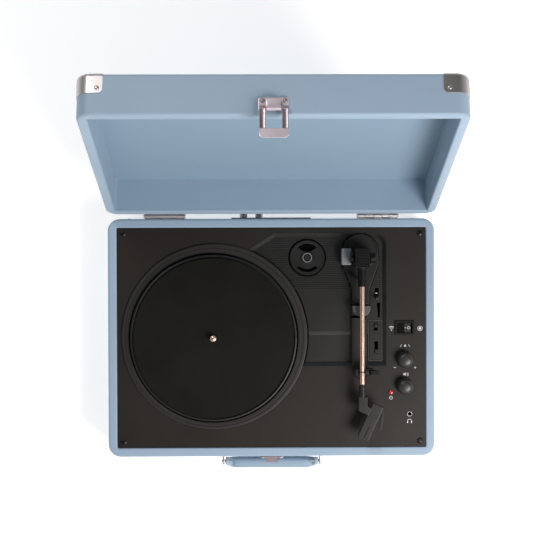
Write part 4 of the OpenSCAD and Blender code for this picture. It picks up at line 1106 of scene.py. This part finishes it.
def headshell():
    x, y = PIVOT
    in_shell = Matrix.Translation((*SHELL_C, 0)) @ Matrix.Rotation(SHELL_ANGLE, 4, "Z")
    ferrule = [(0.02, -148.5), (3.6, -148.5), (3.6, -140), (3.35, -139.6), (3.35, -138.9), (3.6, -138.5),
               (3.6, -136.2), (3.3, -135.5), (0.02, -135.5)]
    Part().lathe(ferrule, (x, y, ARM_Z), "Y", 48).done("arm_ferrule", satin_black, "tonearm")
    part = Part()
    neck = [(101, -61.5), (91.3, -61.5), (91.3, -76.6), (101.8, -81.6), (105.4, -73.8), (101, -71.5)]
    part.plate(neck, ARM_Z - 5, ARM_Z + 3.5, 0.8)
    low, high = ARM_Z - 3, ARM_Z + 2.5
    outline = ([(6.25, 19.5), (-6.25, 19.5)] + arc((-3.85, -17.1), 2.4, 180, 270, 6)
               + arc((3.85, -17.1), 2.4, 270, 360, 6))
    shell = Part().plate(outline, low, high, 0.9)
    shell.cut(Part().plate(rounded(1.3, 13, 0.6, (0.4, -11.5)), high - 0.9, high + 2, 0.01),
              Part().plate(rounded(9.5, 30, 2.5, (0, -2.5)), low - 2, low + 1.2, 0.01))
    screw = above(high, (0.02, -0.3), (1.1, -0.3), (1.1, 0.15), (0.8, 0.35), (0.02, 0.35))
    for side in SIDES:
        shell.lathe(screw, (side * 3.4, 6.5, 0), "Z", 24)
    part.take(shell, in_shell)
    part.done("head_shell", arm_black, "tonearm", "headshell", sharp=30)

    lift = Part()
    root = (5.25, 11.5)
    lift.block((root[0], root[1], ARM_Z - 2), (root[0] + 3.5, root[1] + 3, ARM_Z - 0.4), 0.3, in_shell)
    turn = in_shell @ Matrix.Translation((root[0] + 1, root[1] + 3, ARM_Z - 2)) @ Matrix.Rotation(
        radians(25 - 9.5), 4, "Z")
    blade = [(0, 0), (0, -6), (-0.2, -18.4), (0.3, -19.6), (1.5, -20), (2.7, -19.6), (3.2, -18.4),
             (3, -6), (2.6, 0)]
    lift.plate(blade, 0, 1.6, 0.4, turn)
    lift.done("finger_lift", arm_black, "tonearm")

    cart = Part().block((-5.2, -17.5, ARM_Z - 8), (5.2, 2.5, ARM_Z - 3), 0.5, in_shell)
    tip = MAT_TOP + 1.6
    cart.block((-2.2, -17, tip + 0.9), (2.2, -5, ARM_Z - 7.5), 0.4, in_shell)
    cart.tube([in_shell @ Vector((0, -8, tip + 2.4)), in_shell @ Vector((0, -14, tip + 1.2)),
               in_shell @ Vector((0, -15.6, tip + 0.9))], 0.35, 12)
    cart.lathe([(0.2, 0), (0.7, 1.0)], tuple(in_shell @ Vector((0, -15.5, tip))), "Z", 16)
    cart.done("pickup_cartridge", satin_black, "tonearm", "cartridge")


def rest_and_lift():
    x, y = REST_C
    shelf = ARM_Z - 3
    post = above(DECK, (0.02, -0.2), (9.3, -0.2), (9.3, 0.4), (9.1, 0.6), (8.6, 0.6), (8.2, 0.2),
                 (7.9, 1.4), (7.4, 1.8), (4.6, 1.8), (4, 2.6))
    part = Part().lathe(post + [(4, shelf - 3), (0.02, shelf - 3)], (x, y, 0), "Z", 72)
    cradle = Part().block((x - 7, y - 3, shelf - 3), (x + 6.9, y + 3, shelf), 0.5)
    cradle.take(Part().block((98.6, y - 3, shelf - 1), (100.2, y + 3, shelf + 3), 0.4))
    part.take(cradle)
    for y0 in (y - 4.3, y + 3.2):
        part.block((100, y0, shelf - 3.6), (106.8, y0 + 1.1, shelf - 0.2), 0.3)
    for y0 in (y - 4.3, y + 2.9):
        part.block((100, y0, shelf - 3.6), (102.6, y0 + 1.4, shelf - 0.2), 0.3)
    part.lathe([(0.02, -4), (0.95, -4), (0.95, 4), (0.02, 4)], (105.2, y, RIM + 14.5), "Y", 24)
    part.done("arm_cradle", satin_black, "base", "arm_rest")
    dress(deep_black, "rest_clip", edge=0.4)

    # The pad's light grey is painted light, for the lit rounded end of the arm platform.
    cx, cy, r = 95.6, 32.2, 9.6
    top = ARM_Z - 8
    moon = arc((cx, cy), r, 180, 360, 28)
    moon += [(cx + r, cy + 1.4), (cx + r - 0.6, cy + 2), (cx - r + 0.6, cy + 2), (cx - r, cy + 1.4)]
    pad = Part().plate(moon, top - 1.8, top, 0.6)
    stem = [(0.02, DECK_UNDER - 8), (2.5, DECK_UNDER - 8), (2.5, top - 1.6), (0.02, top - 1.6)]
    pad.lathe(stem, (cx, cy, 0), "Z", 32)
    pad.done("cue_platform", painted_light_grey, "cue_pad", "cue_lift")
    dress(satin_black, "cue_lever", edge=0.5)
    # A black strip on the arm platform, running from the side post towards the front right.
    along = Matrix.Translation((76.8, 73.6, DECK + 1.2)) @ Matrix.Rotation(atan2(-11.6, 17.2), 4, "Z")
    strut = Part().block((0, -1.85, 0), (20.5, 1.85, 1.5), 0.5, along)
    strut.done("arm_black_strut", deep_black, "base")
    # A white stroke on the cue lever: painted highlight.
    lever_glint = Part().block((111.6, 46.7, FLOOR + 1.4), (113.6, 47.5, FLOOR + 2.0), 0.2)
    lever_glint.done("cue_lever_highlight", print_and_highlight_white, "cue_handle")


# ---------- controls ----------


def knob(name, node, centre):
    """Smooth domed knob, a little conical, with a notch at its pointer."""
    x, y = centre
    low, high = DECK + 0.6, DECK + 13
    profile = above(low, (0.02, 0), (8.4, 0), (8.8, 0.5), (8.75, 3.5), (8.5, 6.8))
    profile += above(high, (8.1, -4), (7.5, -2.8), (6.5, -1.8), (5.1, -1.05), (3.4, -0.65), (1.7, -0.48),
                     (0.02, -0.45))
    part = Part().lathe(profile, (x, y, 0), "Z", 128)
    part.cut(box_cutter((x - 0.35, y + 5.2, high - 1.4), (x + 0.35, y + 12, high + 3)))
    shaft = [(0.02, DECK_UNDER - 4), (3, DECK_UNDER - 4), (3, low + 0.5), (0.02, low + 0.5)]
    part.lathe(shaft, (x, y, 0), "Z", 24)
    part.done(name + "_dial", knob_black, name, node, sharp=30)


def controls():
    for name, centre in KNOBS.items():
        knob(name, name + "_knob", centre)
    dress(deep_black, "rocker_bezel", edge=0.45)
    dress(arm_black, "auto_stop_slider", "speed_slider", edge=0.3)
    dress(deep_black, "rocker_cap", edge=0.5)
    x, y = ROCKER_C
    Part().block((x - 0.6, y - 4.8, DECK + 1.85), (x + 6.3, y + 4.8, DECK + 2.2), 0.15).done(
        "rocker_face", chassis_black, "rocker")
    x, y = LED_C
    lens = above(DECK, (0.02, -4), (2.05, -4), (2.05, 0), (2.4, 0), (2.4, 0.5))
    lens += arc((0, DECK + 0.5), 2.4, 18, 90, 4, 1.2)
    Part().lathe(lens, (x, y, 0), "Z", 40).done("power_lamp", lamp_red, "base", "power_led")
    x, y = PHONES_C
    rim = above(DECK, (2, -2), (2.5, -2), (2.5, 0), (2.8, 0), (2.8, 0.3), (2.6, 0.6), (2.2, 0.6), (2, 0.4))
    collar = Part().lathe(rim, (x, y, 0), "Z", 48, closed=True)
    collar.done("phones_collar", silver, "base", "headphone_jack")
    throat = above(DECK, (1.8, -14), (2, -14), (2, 0.1), (1.8, -0.5))
    throat = Part().lathe(throat, (x, y, 0), "Z", 48, closed=True)
    body = Part().block((x - 4.5, y - 5.5, DECK - 17), (x + 4.5, y + 5.5, DECK - 6), 0.4)
    body.cut(cylinder(PHONES_C, 1.8, DECK - 14, 80, 48))
    throat.take(body)
    throat.done("phones_socket_body", deep_black, "base")


# ---------- printed marks ----------


class Marks(Part):
    """Flat printing that stands a twentieth of a millimetre above its level."""

    level = DECK

    def fill(self, outline):
        return self.loft([at_height(outline, self.level - 0.02), at_height(outline, self.level + 0.05)])

    def stroke(self, points, width=0.45):
        for (x0, y0), (x1, y1) in zip(points, points[1:]):
            along = Vector((x1 - x0, y1 - y0)).normalized() * width / 2
            side = Vector((-along.y, along.x))
            a, b = Vector((x0, y0)) - along, Vector((x1, y1)) + along
            self.fill([tuple(a - side), tuple(b - side), tuple(b + side), tuple(a + side)])
        return self

    def ring(self, centre, radius, start=0, end=360, width=0.45, steps=24):
        outer = arc(centre, radius + width / 2, start, end, steps)
        inner = arc(centre, radius - width / 2, start, end, steps)
        for k in range(steps):
            self.fill([inner[k], outer[k], outer[k + 1], inner[k + 1]])
        return self


def printed_marks():
    m = Marks()
    for r in (1.4, 2.8, 4.2):
        m.ring((128.8, 7.3), r, 50, 130)
    m.fill(circle((128.8, 7.3), 0.55, 16))
    m.ring((159.4, 9.2), 2.4).fill(circle((159.4, 9.2), 1.3, 20))
    m.fill([(142.1, -10.2), (144.5, -10.2), (143.3, -7.6)])
    m.stroke([(139.6, -8.2), (138.2, -10.4)]).stroke([(147, -8.2), (148.4, -10.4)])
    m.fill([(141.2, -40.7), (142.3, -40.7), (143.9, -42.1), (143.9, -37.9), (142.3, -39.3),
            (141.2, -39.3)])
    m.ring((143.9, -40), 1.5, -45, 45).ring((143.9, -40), 2.8, -45, 45)
    m.stroke([(131.2, -32.7), (133.4, -32.7)]).stroke([(153, -32.8), (155.2, -32.8)])
    m.stroke([(154.1, -33.9), (154.1, -31.7)])
    m.ring((128, -65.2), 1.7, 120, 420).stroke([(128, -65.0), (128, -63.0)])
    m.ring((148, -90.6), 2.2, 0, 180)
    for x in (145.9, 150.1):
        m.fill(rounded(1, 2.2, 0.4, (x, -91.4)))
    m.done("deck_marks", print_and_highlight_white, "base")
    x, y = ROCKER_C
    m = Marks()
    m.level = DECK + 2.2
    m.stroke([(x + 0.1, y), (x + 1.2, y)]).ring((x + 4.1, y), 1.3)
    m.done("rocker_marks", print_and_highlight_white, "rocker")


base_case()
lid_case()
corner_metal()
hinges()
latch()
handle()
outside_fittings()
deck()
ring()
basin()
platter()
adapter()
arm_mount()
tonearm()
headshell()
rest_and_lift()
controls()
printed_marks()

# ---------- studio ----------


def area_light(name, place, target, size, power, colour=(1, 1, 1)):
    light = bpy.data.lights.new(name, "AREA")
    light.shape, light.size, light.energy, light.color = "SQUARE", size, power, colour
    lamp = bpy.data.objects.new(name, light)
    bpy.context.scene.collection.objects.link(lamp)
    lamp.location = place
    lamp.rotation_euler = (Vector(target) - Vector(place)).to_track_quat("-Z", "Y").to_euler()
    lamp.visible_camera = False
    return lamp


area_light("key_front", (0.2, -1.3, 1.35), (0, 0, 0.05), 1.0, 2.5, (1, 0.97, 0.95))
area_light("top_right", (0.6, -0.5, 0.97), (0, 0, 0.05), 0.5, 12.5, (1, 0.96, 0.94))
area_light("fill_left", (-1.3, -0.9, 1.0), (0, 0, 0.05), 0.9, 1)
area_light("top_back", (-0.6, 0.95, 1.25), (0, 0, 0.05), 0.35, 7)

world = bpy.data.worlds.new("world")
world.use_nodes = True
nodes, links = world.node_tree.nodes, world.node_tree.links
sky = nodes["Background"]
sky.inputs["Strength"].default_value = 1.0
across = nodes.new("ShaderNodeVectorMath")
across.operation = "DOT_PRODUCT"
across.inputs[1].default_value = (0.15, -0.35, -0.85)
links.new(nodes.new("ShaderNodeTexCoord").outputs["Generated"], across.inputs[0])
shade = nodes.new("ShaderNodeMapRange")
shade.interpolation_type = "SMOOTHSTEP"
for socket, number in zip(("From Min", "From Max", "To Min", "To Max"), (-0.75, 0.05, 0.13, 0.60)):
    shade.inputs[socket].default_value = number
links.new(across.outputs["Value"], shade.inputs["Value"])
links.new(shade.outputs["Result"], sky.inputs["Color"])
bpy.context.scene.world = world
bpy.context.scene.view_settings.view_transform = "Standard"

floor = bpy.data.objects.new("floor", bpy.data.meshes.new("floor"))
floor.data.from_pydata([(-4, -4, 0), (4, -4, 0), (4, 4, 0), (-4, 4, 0)], [], [(0, 1, 2, 3)])
bpy.context.scene.collection.objects.link(floor)
floor_look = Look("studio_floor", "board", (0.95, 0.95, 0.95), 0.7)
floor_look.shader.inputs["Emission Color"].default_value = (1, 1, 1, 1)
floor_look.shader.inputs["Emission Strength"].default_value = 0.45
floor.data.materials.append(floor_look.material)
